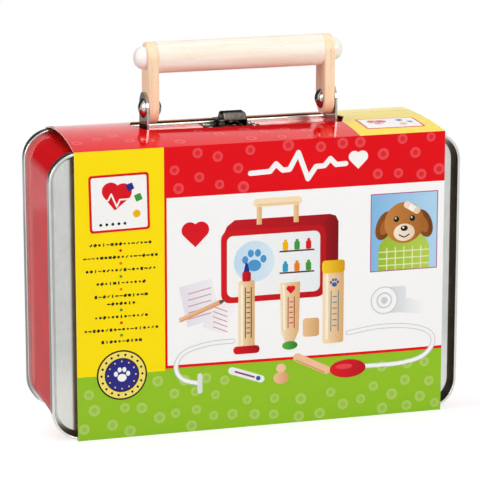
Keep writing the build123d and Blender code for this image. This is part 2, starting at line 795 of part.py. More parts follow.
with BuildPart() as thermometer:
    flat_stick("thermometer", thermometer_width, thermometer_length, thermometer_thickness)
write(thermometer, "thermometer")

with BuildPart() as spatula:
    flat_stick("spatula", spatula_width, spatula_length, spatula_thickness)
    fillet(spatula.edges().group_by(Axis.Y)[0], spatula_thickness / 4)
    fillet(spatula.edges().group_by(Axis.Y)[-1], spatula_thickness / 4)
write(spatula, "spatula")

otoscope_x, otoscope_z = place["otoscope"]
with BuildPart() as otoscope:
    base_height = otoscope_length / 5
    upright(otoscope_x, otoscope_y, otoscope_z, otoscope_radius, base_height)
    fillet(otoscope.edges(), base_height / 4)
    upright(otoscope_x, otoscope_y, otoscope_z + base_height, otoscope_neck,
            otoscope_length / 2)
    tapered(otoscope_x, otoscope_y, otoscope_z + otoscope_length / 2, otoscope_neck,
            otoscope_radius * 0.7, otoscope_length / 2)
    fillet(otoscope.edges().group_by(Axis.Z)[-1], otoscope_radius / 4)
write(otoscope, "otoscope")

stub_x, stub_z = place["stub"]
with BuildPart() as wooden_stub:
    upright(stub_x, stub_y, stub_z, stub_radius, stub_length)
    fillet(wooden_stub.edges(), stub_round)
write(wooden_stub, "wooden_stub")

bandage_x, bandage_z = place["bandage"]
with BuildPart() as bandage_roll:
    upright(bandage_x, bandage_y, bandage_z, bandage_radius, bandage_length)
    upright(bandage_x, bandage_y, bandage_z, bandage_core, bandage_length, Mode.SUBTRACT)
write(bandage_roll, "bandage_roll")

with BuildPart() as gauze_pad:
    flat_pad("gauze", deck_y - round_sink + seat_gap, gauze_side, gauze_side, gauze_thickness)
    fillet(gauze_pad.edges(), gauze_thickness / 6)
write(gauze_pad, "gauze_pad")

pencil_x, pencil_z = place["pencil"]
with BuildPart() as pencil:
    with BuildSketch(Plane.XY.offset(pencil_z + pencil_point)):
        with Locations((pencil_x, pencil_y)):
            RegularPolygon(pencil_flats / 2, 6, major_radius=False)
    extrude(amount=pencil_length)
    tapered(pencil_x, pencil_y, pencil_z, pencil_lead, pencil_flats / 2, pencil_point)
write(pencil, "pencil")

with BuildPart() as prescription_notes:
    flat_pad("notes", flat_front, notes_width, notes_length, notes_thickness)
write(prescription_notes, "prescription_notes")
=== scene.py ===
# %% [markdown]
# # A toy doctor case
# A small pressed-tin suitcase, enamelled red on its walls and left as bare tin on its rims and
# panels. A beech handle swings on two steel brackets, a printed card sleeve is folded round the
# case, and wooden doctor's toys lie inside in a white plastic tray.
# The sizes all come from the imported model, so this script only gives the surfaces their looks and
# adds what is too fine for the model: the inks of the print and the scales on the toys.

import math
import random

import bmesh
import bpy
from mathutils import Matrix, Vector


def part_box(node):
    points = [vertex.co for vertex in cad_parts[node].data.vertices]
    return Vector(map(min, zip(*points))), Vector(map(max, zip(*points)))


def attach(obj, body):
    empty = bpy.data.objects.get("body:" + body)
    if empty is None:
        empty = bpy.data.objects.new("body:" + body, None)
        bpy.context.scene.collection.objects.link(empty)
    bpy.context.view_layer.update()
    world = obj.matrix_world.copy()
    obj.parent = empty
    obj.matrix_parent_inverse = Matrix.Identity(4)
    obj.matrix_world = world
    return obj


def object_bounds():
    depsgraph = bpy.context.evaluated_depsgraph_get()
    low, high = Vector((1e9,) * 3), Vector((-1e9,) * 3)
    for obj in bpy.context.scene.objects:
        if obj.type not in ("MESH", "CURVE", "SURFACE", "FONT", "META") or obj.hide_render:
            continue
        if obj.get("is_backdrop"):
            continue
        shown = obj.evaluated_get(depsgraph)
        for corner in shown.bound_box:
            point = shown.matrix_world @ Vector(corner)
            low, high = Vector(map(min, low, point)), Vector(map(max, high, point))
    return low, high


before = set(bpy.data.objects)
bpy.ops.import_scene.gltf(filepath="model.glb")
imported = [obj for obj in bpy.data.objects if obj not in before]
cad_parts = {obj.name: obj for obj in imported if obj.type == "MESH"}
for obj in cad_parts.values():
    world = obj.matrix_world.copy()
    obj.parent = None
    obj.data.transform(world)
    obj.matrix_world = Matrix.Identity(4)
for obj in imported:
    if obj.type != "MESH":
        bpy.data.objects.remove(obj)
MM = 0.001
case_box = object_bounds()
scene = bpy.context.scene
case_size = [round(v / MM, 1) for v in case_box[1] - case_box[0]]
print("nodes", len(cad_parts), "box", case_size, "mm")

# %% [markdown]
# ## The camera
# The case is seen from its left and a little above, through a long lens from about 1.4 m away, so
# its edges stay almost parallel. A camera in Blender looks down its own -Z: a quarter turn about X
# makes it look level, and it is then tipped down and turned to the right.

# %% Place the camera
camera_place = Vector((-363.6, -1261.4, 412.8)) * MM
camera_tip = math.radians(13.90)
camera_turn = math.radians(16.06)
focal_length, sensor_width = 201.2, 36.0     # both in mm, as the lens takes them
lens = bpy.data.cameras.new("long_lens")
lens.lens, lens.sensor_width = focal_length, sensor_width
camera = bpy.data.objects.new("camera", lens)
camera.location = camera_place
camera.rotation_euler = (math.pi / 2 - camera_tip, 0.0, -camera_turn)
scene.collection.objects.link(camera)
scene.camera = camera
print("camera", [round(v, 3) for v in camera.location], "lens", lens.lens, "mm")

# %% [markdown]
# ## Two small helpers
# Colours are picked as sRGB hex values, as on a screen, but the renderer adds light in linear
# numbers, so one function turns the one into the other. The other function adds a node, so that
# every tree of nodes below can be read from its inputs to its output.

# %% Colour and node helpers
def srgb(hex_value):
    """An sRGB hex value as the linear red, green and blue, and the alpha, that a node takes."""
    channels = [int(hex_value[i:i + 2], 16) / 255 for i in (1, 3, 5)]
    linear = [c / 12.92 if c <= 0.04045 else ((c + 0.055) / 1.055) ** 2.4 for c in channels]
    return (*linear, 1.0)


def add(tree, kind, settings=(), links=()):
    """Settings go to the node's properties or sockets by name or number. Links feed sockets."""
    made = tree.nodes.new(kind)
    for name, value in dict(settings).items():
        if isinstance(name, str) and hasattr(made, name):
            setattr(made, name, value)
        else:
            made.inputs[name].default_value = value
    for name, source in dict(links).items():
        tree.links.new(source, made.inputs[name])
    return made


print("red as linear", [round(c, 3) for c in srgb("#E20417")])

# %% [markdown]
# ## Studio
# A product like this stands on a white table in a white room. If all that white also lit the case,
# its colours would wash out. So a Light Path node tells the rays apart: the lens and reflections
# see white, and only a plain amount of light falls on the case.

# %% World
room_brightness = 0.38     # of the light that falls on the case
world = bpy.data.worlds.new("studio")
scene.world = world
world.use_nodes = True
sky = world.node_tree
sky.nodes.clear()


def white_to_lens_and_gloss(tree):
    """1 for a ray from the lens, a reflection or clear stuff, and 0 for light on things."""
    ray = add(tree, "ShaderNodeLightPath")
    lens_or_gloss = add(tree, "ShaderNodeMath", {"operation": "MAXIMUM"},
                        {0: ray.outputs["Is Camera Ray"], 1: ray.outputs["Is Glossy Ray"]})
    return add(tree, "ShaderNodeMath", {"operation": "MAXIMUM"},
               {0: lens_or_gloss.outputs[0], 1: ray.outputs["Is Transmission Ray"]}).outputs[0]


room_light = add(sky, "ShaderNodeBackground",
                 {"Color": srgb("#F4F6FA"), "Strength": room_brightness})
room_white = add(sky, "ShaderNodeBackground", {"Color": srgb("#FFFFFF"), "Strength": 1.0})
room = add(sky, "ShaderNodeMixShader", (), {0: white_to_lens_and_gloss(sky),
                                            1: room_light.outputs[0], 2: room_white.outputs[0]})
add(sky, "ShaderNodeOutputWorld", (), {"Surface": room.outputs[0]})
print("world", world.name, "lights the case at", room_brightness)

# %% [markdown]
# The table is one flat sheet. It ends just behind the case, because the lid is hinged at the foot
# and its opened half has to stay in sight below the table. create_grid makes a square from -size
# to +size, so a size of 0.5 gives a side of 1 that a diagonal matrix then scales.

# %% Table
table_left_to_right = 8.0
table_front = -4.0
table_back = case_box[1].y + 1.5 * MM
table_level = case_box[0].z - 0.1 * MM


def as_object(made, name):
    """Turns a finished bmesh into an object at the origin."""
    mesh = bpy.data.meshes.new(name)
    made.to_mesh(mesh)
    made.free()
    thing = bpy.data.objects.new(name, mesh)
    scene.collection.objects.link(thing)
    return thing


table_sheet = bmesh.new()
table_middle = Matrix.Translation((0, (table_front + table_back) / 2, table_level))
table_size = Matrix.Diagonal((table_left_to_right, table_back - table_front, 1, 1))
bmesh.ops.create_grid(table_sheet, x_segments=1, y_segments=1, size=0.5,
                      matrix=table_middle @ table_size)
floor = as_object(table_sheet, "floor")
floor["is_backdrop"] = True
print("table ends", round(table_back / MM, 1), "mm behind the middle of the case")

# %% [markdown]
# A white table keeps the soft shadow of the case, yet has to fade into the white room. Its paint
# is matt grey that catches shadow, with a glow added that makes up the rest to white. The glow
# grows with the distance from the case, and also towards the back edge, which it hides.

# %% Paint of the table
shadow_reach, fade_reach = 0.25, 1.6      # metres from the case
glow_near, glow_far, glow_behind = 0.66, 0.9, 0.34
behind_starts = -30 * MM
floor_paint = bpy.data.materials.new("white_table")
floor_paint.use_nodes = True
table = floor_paint.node_tree
table.nodes.clear()
table_matt = add(table, "ShaderNodeBsdfDiffuse", {"Color": srgb("#E6E6E6")})
spot = add(table, "ShaderNodeTexCoord").outputs["Object"]
away = add(table, "ShaderNodeVectorMath", {"operation": "LENGTH"}, {0: spot}).outputs["Value"]
depth = add(table, "ShaderNodeSeparateXYZ", (), {0: spot}).outputs["Y"]
far_glow = add(table, "ShaderNodeMapRange",
               {"From Min": shadow_reach, "From Max": fade_reach,
                "To Min": glow_near, "To Max": glow_far}, {"Value": away})
back_glow = add(table, "ShaderNodeMapRange",
                {"From Min": behind_starts, "From Max": table_back,
                 "To Min": 0.0, "To Max": glow_behind}, {"Value": depth})
glow = add(table, "ShaderNodeMath", {"operation": "ADD"},
           {0: far_glow.outputs[0], 1: back_glow.outputs[0]})
table_glow = add(table, "ShaderNodeEmission", {"Color": srgb("#FFFFFF")},
                 {"Strength": glow.outputs[0]})
table_seen = add(table, "ShaderNodeBsdfDiffuse", {"Color": srgb("#AEB0B0")})
table_sum = add(table, "ShaderNodeAddShader", (),
                {0: table_seen.outputs[0], 1: table_glow.outputs[0]})
table_mix = add(table, "ShaderNodeMixShader", (),
                {0: white_to_lens_and_gloss(table), 1: table_matt.outputs[0],
                 2: table_sum.outputs[0]})
add(table, "ShaderNodeOutputMaterial", (), {"Surface": table_mix.outputs[0]})
floor.data.materials.append(floor_paint)
print("table paint", len(table.nodes), "nodes")

# %% [markdown]
# Three large disc lamps give the shapes their shading: the strongest in front to the right, a
# second at the left for the side wall, and a third overhead. A large lamp has a soft edge to its
# shadow. Each is turned to the middle of the case.

# %% Lamps
lamp_target = Vector((0, 0, 0.08))


def soft_lamp(name, place, size, power):
    lamp = bpy.data.lights.new(name, "AREA")
    lamp.shape, lamp.size, lamp.energy = "DISK", size, power
    lamp.color = srgb("#FFFCF8")[:3]
    thing = bpy.data.objects.new(name, lamp)
    thing.location = place
    thing.rotation_euler = (lamp_target - Vector(place)).to_track_quat("-Z", "Y").to_euler()
    scene.collection.objects.link(thing)


soft_lamp("front_lamp", (0.55, -1.5, 0.9), 0.9, 14.3)
soft_lamp("left_lamp", (-1.5, -0.15, 0.65), 0.8, 9)
soft_lamp("top_lamp", (-0.1, 0.1, 1.6), 1.0, 7.5)

# %% [markdown]
# Gloss and metal show what is around them, and in an all white room their edges get lost. A studio
# stands dark and grey cards, called flags, beside such a product, so that it has something dark to
# reflect next to the white. Here each card is no lit cloth but a glow of a set strength, graded by
# height, so what the gloss shows of it is a painted reflection. These are seen only in reflections
# and throw no shadow.

# %% Flags
def flag(name, place, width, height, low, high, turn=0.0, tip=math.pi / 2):
    """low and high are (height, brightness), and the card is graded from the one to the other."""
    card = bmesh.new()
    bmesh.ops.create_grid(card, x_segments=1, y_segments=1, size=0.5,
                          matrix=Matrix.Translation(place) @ Matrix.Rotation(turn, 4, "Z")
                          @ Matrix.Rotation(tip, 4, "X") @ Matrix.Diagonal((width, height, 1, 1)))
    thing = as_object(card, name)
    reflection_glow = bpy.data.materials.new(name + "_felt")
    reflection_glow.use_nodes = True
    glow_nodes = reflection_glow.node_tree
    glow_nodes.nodes.clear()
    spot = add(glow_nodes, "ShaderNodeTexCoord").outputs["Object"]
    level = add(glow_nodes, "ShaderNodeSeparateXYZ", (), {0: spot}).outputs["Z"]
    shade = add(glow_nodes, "ShaderNodeMapRange",
                {"From Min": low[0], "From Max": high[0], "To Min": low[1], "To Max": high[1]},
                {"Value": level})
    # The card glows at that strength: a painted reflection, not a card lit by the lamps.
    painted_reflection = add(glow_nodes, "ShaderNodeEmission", {"Color": srgb("#FFFFFF")},
                {"Strength": shade.outputs[0]})
    add(glow_nodes, "ShaderNodeOutputMaterial", (), {"Surface": painted_reflection.outputs[0]})
    thing.data.materials.append(reflection_glow)
    thing.visible_camera = thing.visible_diffuse = thing.visible_shadow = False
    thing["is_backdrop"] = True


flag("left_flag", (-0.45, 0.5, 0.4), 0.9, 0.8, (0.0, 0.62), (0.12, 0.05), turn=math.radians(-12))
flag("left_table_card", (-0.31, 0.33, 0.004), 0.42, 0.66, (0.0, 0.35), (1.0, 0.35), tip=0.0)
flag("front_table_card", (0.15, -0.5, 0.004), 0.7, 0.75, (0.0, 0.88), (1.0, 0.88), tip=0.0)
flag("latch_card", (0.005, 0.040, 0.156), 0.09, 0.02, (0.0, 0.04), (1.0, 0.04))

# %% [markdown]
# ## Materials
# Each one starts from what the real surface is. A little unevenness in colour, in gloss and in
# height is what makes it read as tin, card or wood. Patterns use Object coordinates, so they are
# in metres on the piece and stay put when it moves.

# %% A material to start from
def new_finish(name, settings):
    """A material with one shader, and the place on the piece that its patterns read."""
    finish = bpy.data.materials.new(name)
    finish.use_nodes = True
    tree = finish.node_tree
    tree.nodes.clear()
    shader = add(tree, "ShaderNodeBsdfPrincipled", settings)
    add(tree, "ShaderNodeOutputMaterial", (), {"Surface": shader.outputs[0]})
    place = add(tree, "ShaderNodeTexCoord").outputs["Object"]
    return finish, tree, shader, place


# %% [markdown]
# A noise pattern is the start of all the unevenness. Three things are made of it: a blend of two
# colours, a change of roughness, and bumps of a real depth.

# %% Patterns, colours and bumps
noise_low, noise_high = 0.3, 0.7     # nearly all of a noise lies between these


def grains(tree, place, size, stretch=(1, 1, 1), detail=2.0):
    """A noise whose blotches are about size metres across, drawn out by stretch."""
    scaled = add(tree, "ShaderNodeMapping", {"vector_type": "TEXTURE", "Scale": stretch},
                 {"Vector": place})
    return add(tree, "ShaderNodeTexNoise", {"Scale": 1 / size, "Detail": detail},
               {"Vector": scaled.outputs[0]}).outputs[0]


def blend(tree, source, dark, light, low=noise_low, high=noise_high):
    """A colour that is dark where source is low and light where it is high."""
    made = add(tree, "ShaderNodeValToRGB", (), {0: source})
    for stop, at, colour in zip(made.color_ramp.elements, (low, high), (dark, light)):
        stop.position, stop.color = at, srgb(colour)
    return made.outputs["Color"]


def tint(tree, shader, source, dark, light, high=noise_high):
    tree.links.new(blend(tree, source, dark, light, high=high), shader.inputs["Base Color"])


def vary_roughness(tree, shader, source, low, high):
    spread = add(tree, "ShaderNodeMapRange", {"From Min": noise_low, "From Max": noise_high,
                                              "To Min": low, "To Max": high}, {"Value": source})
    tree.links.new(spread.outputs[0], shader.inputs["Roughness"])


def relief(tree, shader, source, depth, strength=1.0):
    """Bumps of that real depth, in metres."""
    bump = add(tree, "ShaderNodeBump", {"Strength": strength, "Distance": depth},
               {"Height": source})
    tree.links.new(bump.outputs[0], shader.inputs["Normal"])


# %% [markdown]
# ### Bare tinplate
# Steel sheet with a thin coat of tin, rolled and then pressed. Rolling leaves fine lines along the
# sheet and the tin a faint cloudy bloom, so the gloss changes a little and reflections are soft.
# An anisotropic shader could give the lines, but they are so faint that a stretched noise does.
# The real lines are about 0.1 mm apart. They are drawn 0.5 mm apart so that they show.

# %% Tinplate
tinplate, tree, shader, place = new_finish("tinplate", {"Metallic": 1.0, "Roughness": 0.2})
bloom = grains(tree, place, 9 * MM, detail=3.0)
rolled = grains(tree, place, 0.5 * MM, stretch=(1, 1, 14), detail=2.0)
half_bloom = add(tree, "ShaderNodeMath", {"operation": "MULTIPLY", 1: 0.5}, {0: bloom}).outputs[0]
tone = add(tree, "ShaderNodeMath", {"operation": "MULTIPLY_ADD", 1: 0.5},
           {0: rolled, 2: half_bloom}).outputs[0]
tint(tree, shader, tone, "#CBCCC9", "#DADBD8")
vary_roughness(tree, shader, tone, 0.19, 0.23)
relief(tree, shader, rolled, 0.004 * MM, 0.2)
print(tinplate.name, len(tree.nodes), "nodes")

# %% [markdown]
# ### Red enamel
# Stoving enamel on tin is a thick gloss coat. It flows before it hardens, which leaves a very
# slight orange peel a few millimetres across: reflections stay sharp but their edges wander. The
# colour clouds faintly every few centimetres. Enamel has an IOR near 1.5. In this white room that
# would turn the red to pink at a low angle, so the IOR is brought down until the red holds.

# %% Red enamel
red_enamel, tree, shader, place = new_finish("red_enamel", {"Roughness": 0.12, "IOR": 1.22})
peel = grains(tree, place, 3 * MM, detail=1.0)
cloud = grains(tree, place, 25 * MM, detail=2.0)
tint(tree, shader, cloud, "#D60414", "#E20818")
vary_roughness(tree, shader, peel, 0.09, 0.15)
relief(tree, shader, peel, 0.02 * MM, 0.35)
print(red_enamel.name, len(tree.nodes), "nodes")

# %% [markdown]
# ### Nickel-plated and wire steel
# The small fittings are stamped, tumbled and plated. The latch's nickel is given a dark, warm base
# colour, painted shade that stands in for the dark reflections it shows, and the brackets and
# rivets have bright nickel. Tumbling leaves fine scuffs. The pins and screws are drawn steel wire,
# with faint lines along their length that are drawn 0.25 mm apart here, coarser than the real ones.

# %% Nickel and wire
def nickel(name, light, dark):
    plated, tree, shader, place = new_finish(name, {"Metallic": 1.0, "Roughness": 0.12})
    scuff = grains(tree, place, 1.2 * MM, detail=3.0)
    tint(tree, shader, scuff, dark, light)
    vary_roughness(tree, shader, scuff, 0.08, 0.16)
    relief(tree, shader, scuff, 0.01 * MM, 0.2)
    return plated


# The latch's base colour is darkened below that of real nickel: painted shade for its dark
# reflections.
shade_darkened_nickel = nickel("shade_darkened_nickel", "#6F6963", "#56504B")
bright_nickel = nickel("bright_nickel", "#C4BDB6", "#A9A29C")

steel_wire, tree, shader, place = new_finish("steel_wire", {"Metallic": 1.0, "Roughness": 0.25})
drawn = grains(tree, place, 0.25 * MM, stretch=(12, 1, 1), detail=1.0)
tint(tree, shader, drawn, "#B2B2B0", "#D2D2D0")
relief(tree, shader, drawn, 0.01 * MM, 0.4)
print("metals", tinplate.name, shade_darkened_nickel.name, bright_nickel.name, steel_wire.name)

# %% [markdown]
# ### Beech
# Turned and sanded beech is pale and close-grained. Soft growth lines run along the piece, with
# short dark flecks 1 to 3 mm long. Rings cut through a log could be built in full, but on pieces
# this thin only their long lines are seen. The grain has to follow each piece, so there is one
# beech for each axis, with its pattern stretched along it. The grip is the palest and has its own.
# Sockets 6 and 7 of a Mix node are its two colours, and its output 2 is the mixed one.

# %% Beech along any axis
def beech_along(axis, name, light="#FDE8C8", dark="#F8D9B0", fleck="#DDB080"):
    wood, tree, shader, place = new_finish(name, {"Roughness": 0.5, "IOR": 1.45})
    along = [14 if i == axis else 1 for i in range(3)]
    growth = grains(tree, place, 2.6 * MM, stretch=along, detail=3.0)
    short = [5 if i == axis else 1 for i in range(3)]
    ray_fleck = grains(tree, place, 0.45 * MM, stretch=short, detail=1.0)
    flecks = add(tree, "ShaderNodeMapRange",
                 {"From Min": 0.66, "From Max": 0.74, "To Min": 0.0, "To Max": 0.55},
                 {"Value": ray_fleck}).outputs[0]
    board = blend(tree, growth, dark, light, low=0.32, high=0.62)
    flecked = add(tree, "ShaderNodeMix", {"data_type": "RGBA", 7: srgb(fleck)},
                  {0: flecks, 6: board}).outputs[2]
    tree.links.new(flecked, shader.inputs["Base Color"])
    relief(tree, shader, growth, 0.04 * MM, 0.3)
    vary_roughness(tree, shader, growth, 0.42, 0.58)
    return wood


beech = {axis: beech_along(i, f"beech_along_{axis}") for i, axis in enumerate("xyz")}
pale_beech = beech_along(0, "pale_beech_of_the_grip", light="#FCF4E8", dark="#F6E7D2",
                         fleck="#E0C4A0")
print("woods", [m.name for m in bpy.data.materials if "beech" in m.name])

# %% [markdown]
# ### Painted beech
# Caps, flanges and feet of the toys are dipped in a water-based gloss paint. It is thin, so the
# grain lifts it a little: soft ridges along the wood, under an even shine.

# %% Painted beech
def paint_on_wood(name, light, dark):
    paint, tree, shader, place = new_finish(name, {"Roughness": 0.22, "IOR": 1.5})
    under = grains(tree, place, 1.6 * MM, stretch=(1, 1, 8), detail=2.0)
    tint(tree, shader, under, dark, light)
    relief(tree, shader, under, 0.03 * MM, 0.3)
    return paint


red_paint = paint_on_wood("red_painted_beech", "#D2121E", "#BE0C18")
blue_paint = paint_on_wood("blue_painted_beech", "#1E3F98", "#16327E")
yellow_paint = paint_on_wood("yellow_painted_beech", "#F8CF1A", "#EDBE0C")
green_paint = paint_on_wood("green_painted_beech", "#4FA033", "#3F8C28")
print("paints", [m.name for m in bpy.data.materials if "painted" in m.name])

# %% [markdown]
# ### White plastics
# The caps that cover the grip screws are moulded polyethylene. Light goes a millimetre or two into
# it and comes out again, so it looks milky, and that needs subsurface scattering. The tray is thin
# polystyrene sheet, drawn over a mould by vacuum. It is opaque, with a satin skin that ripples
# slightly where the hot sheet was stretched.

# %% Moulded plastics
cap_plastic, tree, shader, place = new_finish("white_polyethylene", {
    "Roughness": 0.28, "IOR": 1.5, "Subsurface Weight": 0.5, "Subsurface Scale": 1.5 * MM,
    "Subsurface Radius": (1.0, 0.9, 0.85)})
milk = grains(tree, place, 2 * MM)
tint(tree, shader, milk, "#F2EEEA", "#FBF9F6")
relief(tree, shader, milk, 0.02 * MM, 0.2)

tray_plastic, tree, shader, place = new_finish("thermoformed_polystyrene",
                                               {"Roughness": 0.3, "IOR": 1.58})
stretched = grains(tree, place, 6 * MM)
tint(tree, shader, stretched, "#EFEFED", "#F3F3F1")
vary_roughness(tree, shader, stretched, 0.26, 0.32)
relief(tree, shader, stretched, 0.03 * MM, 0.15)
print("plastics", cap_plastic.name, tray_plastic.name)

# %% [markdown]
# ### Gauze and paper
# Gauze is an open plain weave of cotton. It could be woven from real threads, but the pad is small
# and lies deep in the tray, so two wave patterns at a right angle are enough, with deep bumps and
# no gloss. A Wave texture with a scale of 1 repeats every 2 pi / 20. The threads are drawn 1.2 mm
# apart, about twice as coarse as real ones, so that they show. Paper is matt, with clouds of fibre.

# %% Gauze and paper
gauze, tree, shader, place = new_finish("cotton_gauze", {"Roughness": 0.9, "Sheen Weight": 0.3})
thread_pitch = 1.2 * MM
weave = [add(tree, "ShaderNodeTexWave",
             {"wave_type": "BANDS", "bands_direction": direction, "Distortion": 0.6, "Detail": 1.0,
              "Detail Scale": 1.0, "Scale": 1 / thread_pitch * 2 * math.pi / 20},
             {"Vector": place}).outputs["Fac"] for direction in "XZ"]
threads = add(tree, "ShaderNodeMath", {"operation": "MAXIMUM"},
              {0: weave[0], 1: weave[1]}).outputs[0]
tint(tree, shader, threads, "#D8D6CF", "#F8F7F2", high=0.8)
relief(tree, shader, threads, 0.25 * MM, 0.7)

paper, tree, shader, place = new_finish("plain_paper", {"Roughness": 0.75})
fibre = grains(tree, place, 0.8 * MM, detail=4.0)
tint(tree, shader, fibre, "#F0EBE6", "#FAF7F3")
relief(tree, shader, fibre, 0.02 * MM, 0.4)
print("finishes", len(bpy.data.materials))

# %% [markdown]
# ### The printed sleeve
# Folding boxboard, printed and glazed. Its outside carries blocks of colour that meet the folds,
# its inside is brown board, and its cut edges are bare. The blocks could be an image, but a few
# comparisons of height and width give the same straight edges, sharp at any distance. The glaze
# has a low IOR for the same reason as the enamel.

# %% Places on the sleeve
sleeve_low, sleeve_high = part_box("sleeve_front")
sleeve_left, sleeve_right = sleeve_low.x, sleeve_high.x
sleeve_front, sleeve_foot = sleeve_low.y, sleeve_low.z
fold_height = 145.0 * MM
column_edge = sleeve_left + 44.4 * MM     # right edge of the yellow column
column_foot = sleeve_foot + 32.5 * MM     # green begins below it
field_edge = column_edge + 1.2 * MM       # red line down the white field's left side
field_foot = sleeve_foot + 34.6 * MM
field_top = sleeve_foot + 119.7 * MM
grass_top = sleeve_foot + 33.1 * MM       # green meets the red line here
patch_left = sleeve_left + 144.5 * MM     # yellow patch on the top
print("sleeve", round((sleeve_right - sleeve_left) / MM, 1), "mm wide, field",
      round((field_top - field_foot) / MM, 1), "mm high")

# %% [markdown]
# The blocks are told apart by how far to the right and how high a point lies. The foot of the field
# sways by half a millimetre, as a drawn line does. The sides of the card are told apart by where
# the surface faces: its inside faces the middle of the case, and its cut edges face left or right.

# %% What the card's masks compare
printed_card, card, shader, place = new_finish("glazed_boxboard", {"Roughness": 0.08, "IOR": 1.22})
case_middle = (0.0, 0.0, 72 * MM)
sway_height, sway_rate = 0.5 * MM, 22.0     # the rate is in radians per metre
card_x, _, card_z = add(card, "ShaderNodeSeparateXYZ", (), {0: place}).outputs
phase = add(card, "ShaderNodeMath", {"operation": "MULTIPLY", 1: sway_rate}, {0: card_x})
sway = add(card, "ShaderNodeMath", {"operation": "SINE"}, {0: phase.outputs[0]})
wavy_z = add(card, "ShaderNodeMath", {"operation": "MULTIPLY_ADD", 1: sway_height},
             {0: sway.outputs[0], 2: card_z}).outputs[0]
facing = add(card, "ShaderNodeNewGeometry").outputs["Normal"]
from_middle = add(card, "ShaderNodeVectorMath", {"operation": "SUBTRACT", 1: case_middle},
                  {0: place})
turned_out = add(card, "ShaderNodeVectorMath", {"operation": "DOT_PRODUCT"},
                 {0: from_middle.outputs[0], 1: facing}).outputs["Value"]
faces_x = add(card, "ShaderNodeSeparateXYZ", (), {0: facing}).outputs["X"]
faces_side = add(card, "ShaderNodeMath", {"operation": "ABSOLUTE"}, {0: faces_x}).outputs[0]
print("card", len(card.nodes), "nodes before its masks")

# %% [markdown]
# A mask is 1 where a comparison holds and 0 elsewhere, and the product of two masks is 1 where both
# hold. The blocks are laid over each other like coats of paint, from the widest down.

# %% Blocks of colour on the card
comparisons = {
    "in the column": ("LESS_THAN", card_x, column_edge),
    "past the column": ("GREATER_THAN", card_x, column_edge),
    "past the line": ("GREATER_THAN", card_x, field_edge),
    "past the patch's left": ("GREATER_THAN", card_x, patch_left),
    "on the wall": ("LESS_THAN", card_z, fold_height),
    "on the top": ("GREATER_THAN", card_z, fold_height),
    "in the column's foot": ("LESS_THAN", card_z, column_foot),
    "below the field's top": ("LESS_THAN", card_z, field_top),
    "above the field's foot": ("GREATER_THAN", wavy_z, field_foot),
    "in the grass": ("LESS_THAN", wavy_z, grass_top),
    "inside": ("LESS_THAN", turned_out, 0.0),
    "cut edge": ("GREATER_THAN", faces_side, 0.9),
}
masks = {name: add(card, "ShaderNodeMath", {"operation": kind, 1: limit}, {0: value}).outputs[0]
         for name, (kind, value, limit) in comparisons.items()}
coats = (
    ("#F9F9FA", ("past the line", "above the field's foot", "below the field's top")),
    ("#93C424", ("past the column", "in the grass")),
    ("#FFE200", ("in the column", "on the wall")),
    ("#93C424", ("in the column", "in the column's foot")),
    ("#FFE200", ("past the patch's left", "on the top")),
    ("#B8925A", ("inside",)),
    ("#E2D9CC", ("cut edge",)),
)
colour = blend(card, grains(card, place, 40 * MM), "#E10010", "#EA0212")
for coat, (first, *others) in coats:
    mask = masks[first]
    for name in others:
        mask = add(card, "ShaderNodeMath", {"operation": "MULTIPLY"},
                   {0: mask, 1: masks[name]}).outputs[0]
    colour = add(card, "ShaderNodeMix", {"data_type": "RGBA", 7: srgb(coat)},
                 {0: mask, 6: colour}).outputs[2]
card.links.new(colour, shader.inputs["Base Color"])
relief(card, shader, grains(card, place, 30 * MM, detail=1.0), 0.12 * MM, 0.2)
print("card", len(coats), "coats")

# %% [markdown]
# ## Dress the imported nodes
# Every node keeps its shape and gets the finish of its slot. Wood looks up the axis that its grain
# runs along, which is the longest side of the piece.

# %% Finishes of the nodes
finish_of_slot = {
    "red_enamel": red_enamel, "tinplate": tinplate, "printed_card": printed_card,
    "steel_wire": steel_wire, "dark_chrome": shade_darkened_nickel, "white_plastic": cap_plastic,
    "white_tray": tray_plastic, "red_paint": red_paint, "blue_paint": blue_paint,
    "yellow_paint": yellow_paint, "green_paint": green_paint, "gauze": gauze, "paper": paper,
}


def longest_axis(node):
    low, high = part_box(node)
    return "xyz"[max(range(3), key=lambda i: (high - low)[i])]


for name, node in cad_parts.items():
    for slot in node.material_slots:
        wood = slot.material.name.startswith("beech")
        slot.material = beech[longest_axis(name)] if wood else finish_of_slot[slot.material.name]
        if name == "grip":
            slot.material = pale_beech
        if "bracket" in name or "rivet" in name:
            slot.material = bright_nickel
print("dressed", len(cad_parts), "nodes")

# %% [markdown]
# ### Inks of the print
# The pictures on the sleeve are printed with the colour blocks, but shapes such as hearts and toys
# are easier to draw as thin flat pieces than as a formula. Each is a few hundredths of a millimetre
# thick, with upper inks standing a layer higher. All share one finish, which reads each face's ink
# from a colour attribute. The dots of a real printing screen are about 0.15 mm apart, and the
# mottle that stands for them here is 0.5 mm across, so that it shows.

# %% Ink finish
print_ink, tree, shader, place = new_finish("printing_ink", {"Roughness": 0.08, "IOR": 1.22})
inked = add(tree, "ShaderNodeAttribute", {"attribute_name": "ink"}).outputs["Color"]
screen = grains(tree, place, 0.5 * MM, detail=1.0)
mottle = blend(tree, screen, "#F6F6F6", "#FFFFFF", high=0.6)
dots = add(tree, "ShaderNodeMix", {"data_type": "RGBA", "blend_type": "MULTIPLY", 0: 1.0},
           {6: inked, 7: mottle})
tree.links.new(dots.outputs[2], shader.inputs["Base Color"])
relief(tree, shader, screen, 0.005 * MM, 0.2)
print(print_ink.name, len(tree.nodes), "nodes")

# %% [markdown]
# A drawing is made of places on a side of the case. Each place is a matrix whose X runs to the
# right, whose Y runs up and whose Z points out of the card, so the same drawing works on the front,
# on the back and on a toy. Every length in a drawing is in millimetres.

# %% Places on the card
def shift(u, v, turn=0.0):
    """A step to the right and up, in millimetres, and a turn in degrees."""
    return Matrix.Translation((u * MM, v * MM, 0)) @ Matrix.Rotation(math.radians(turn), 4, "Z")


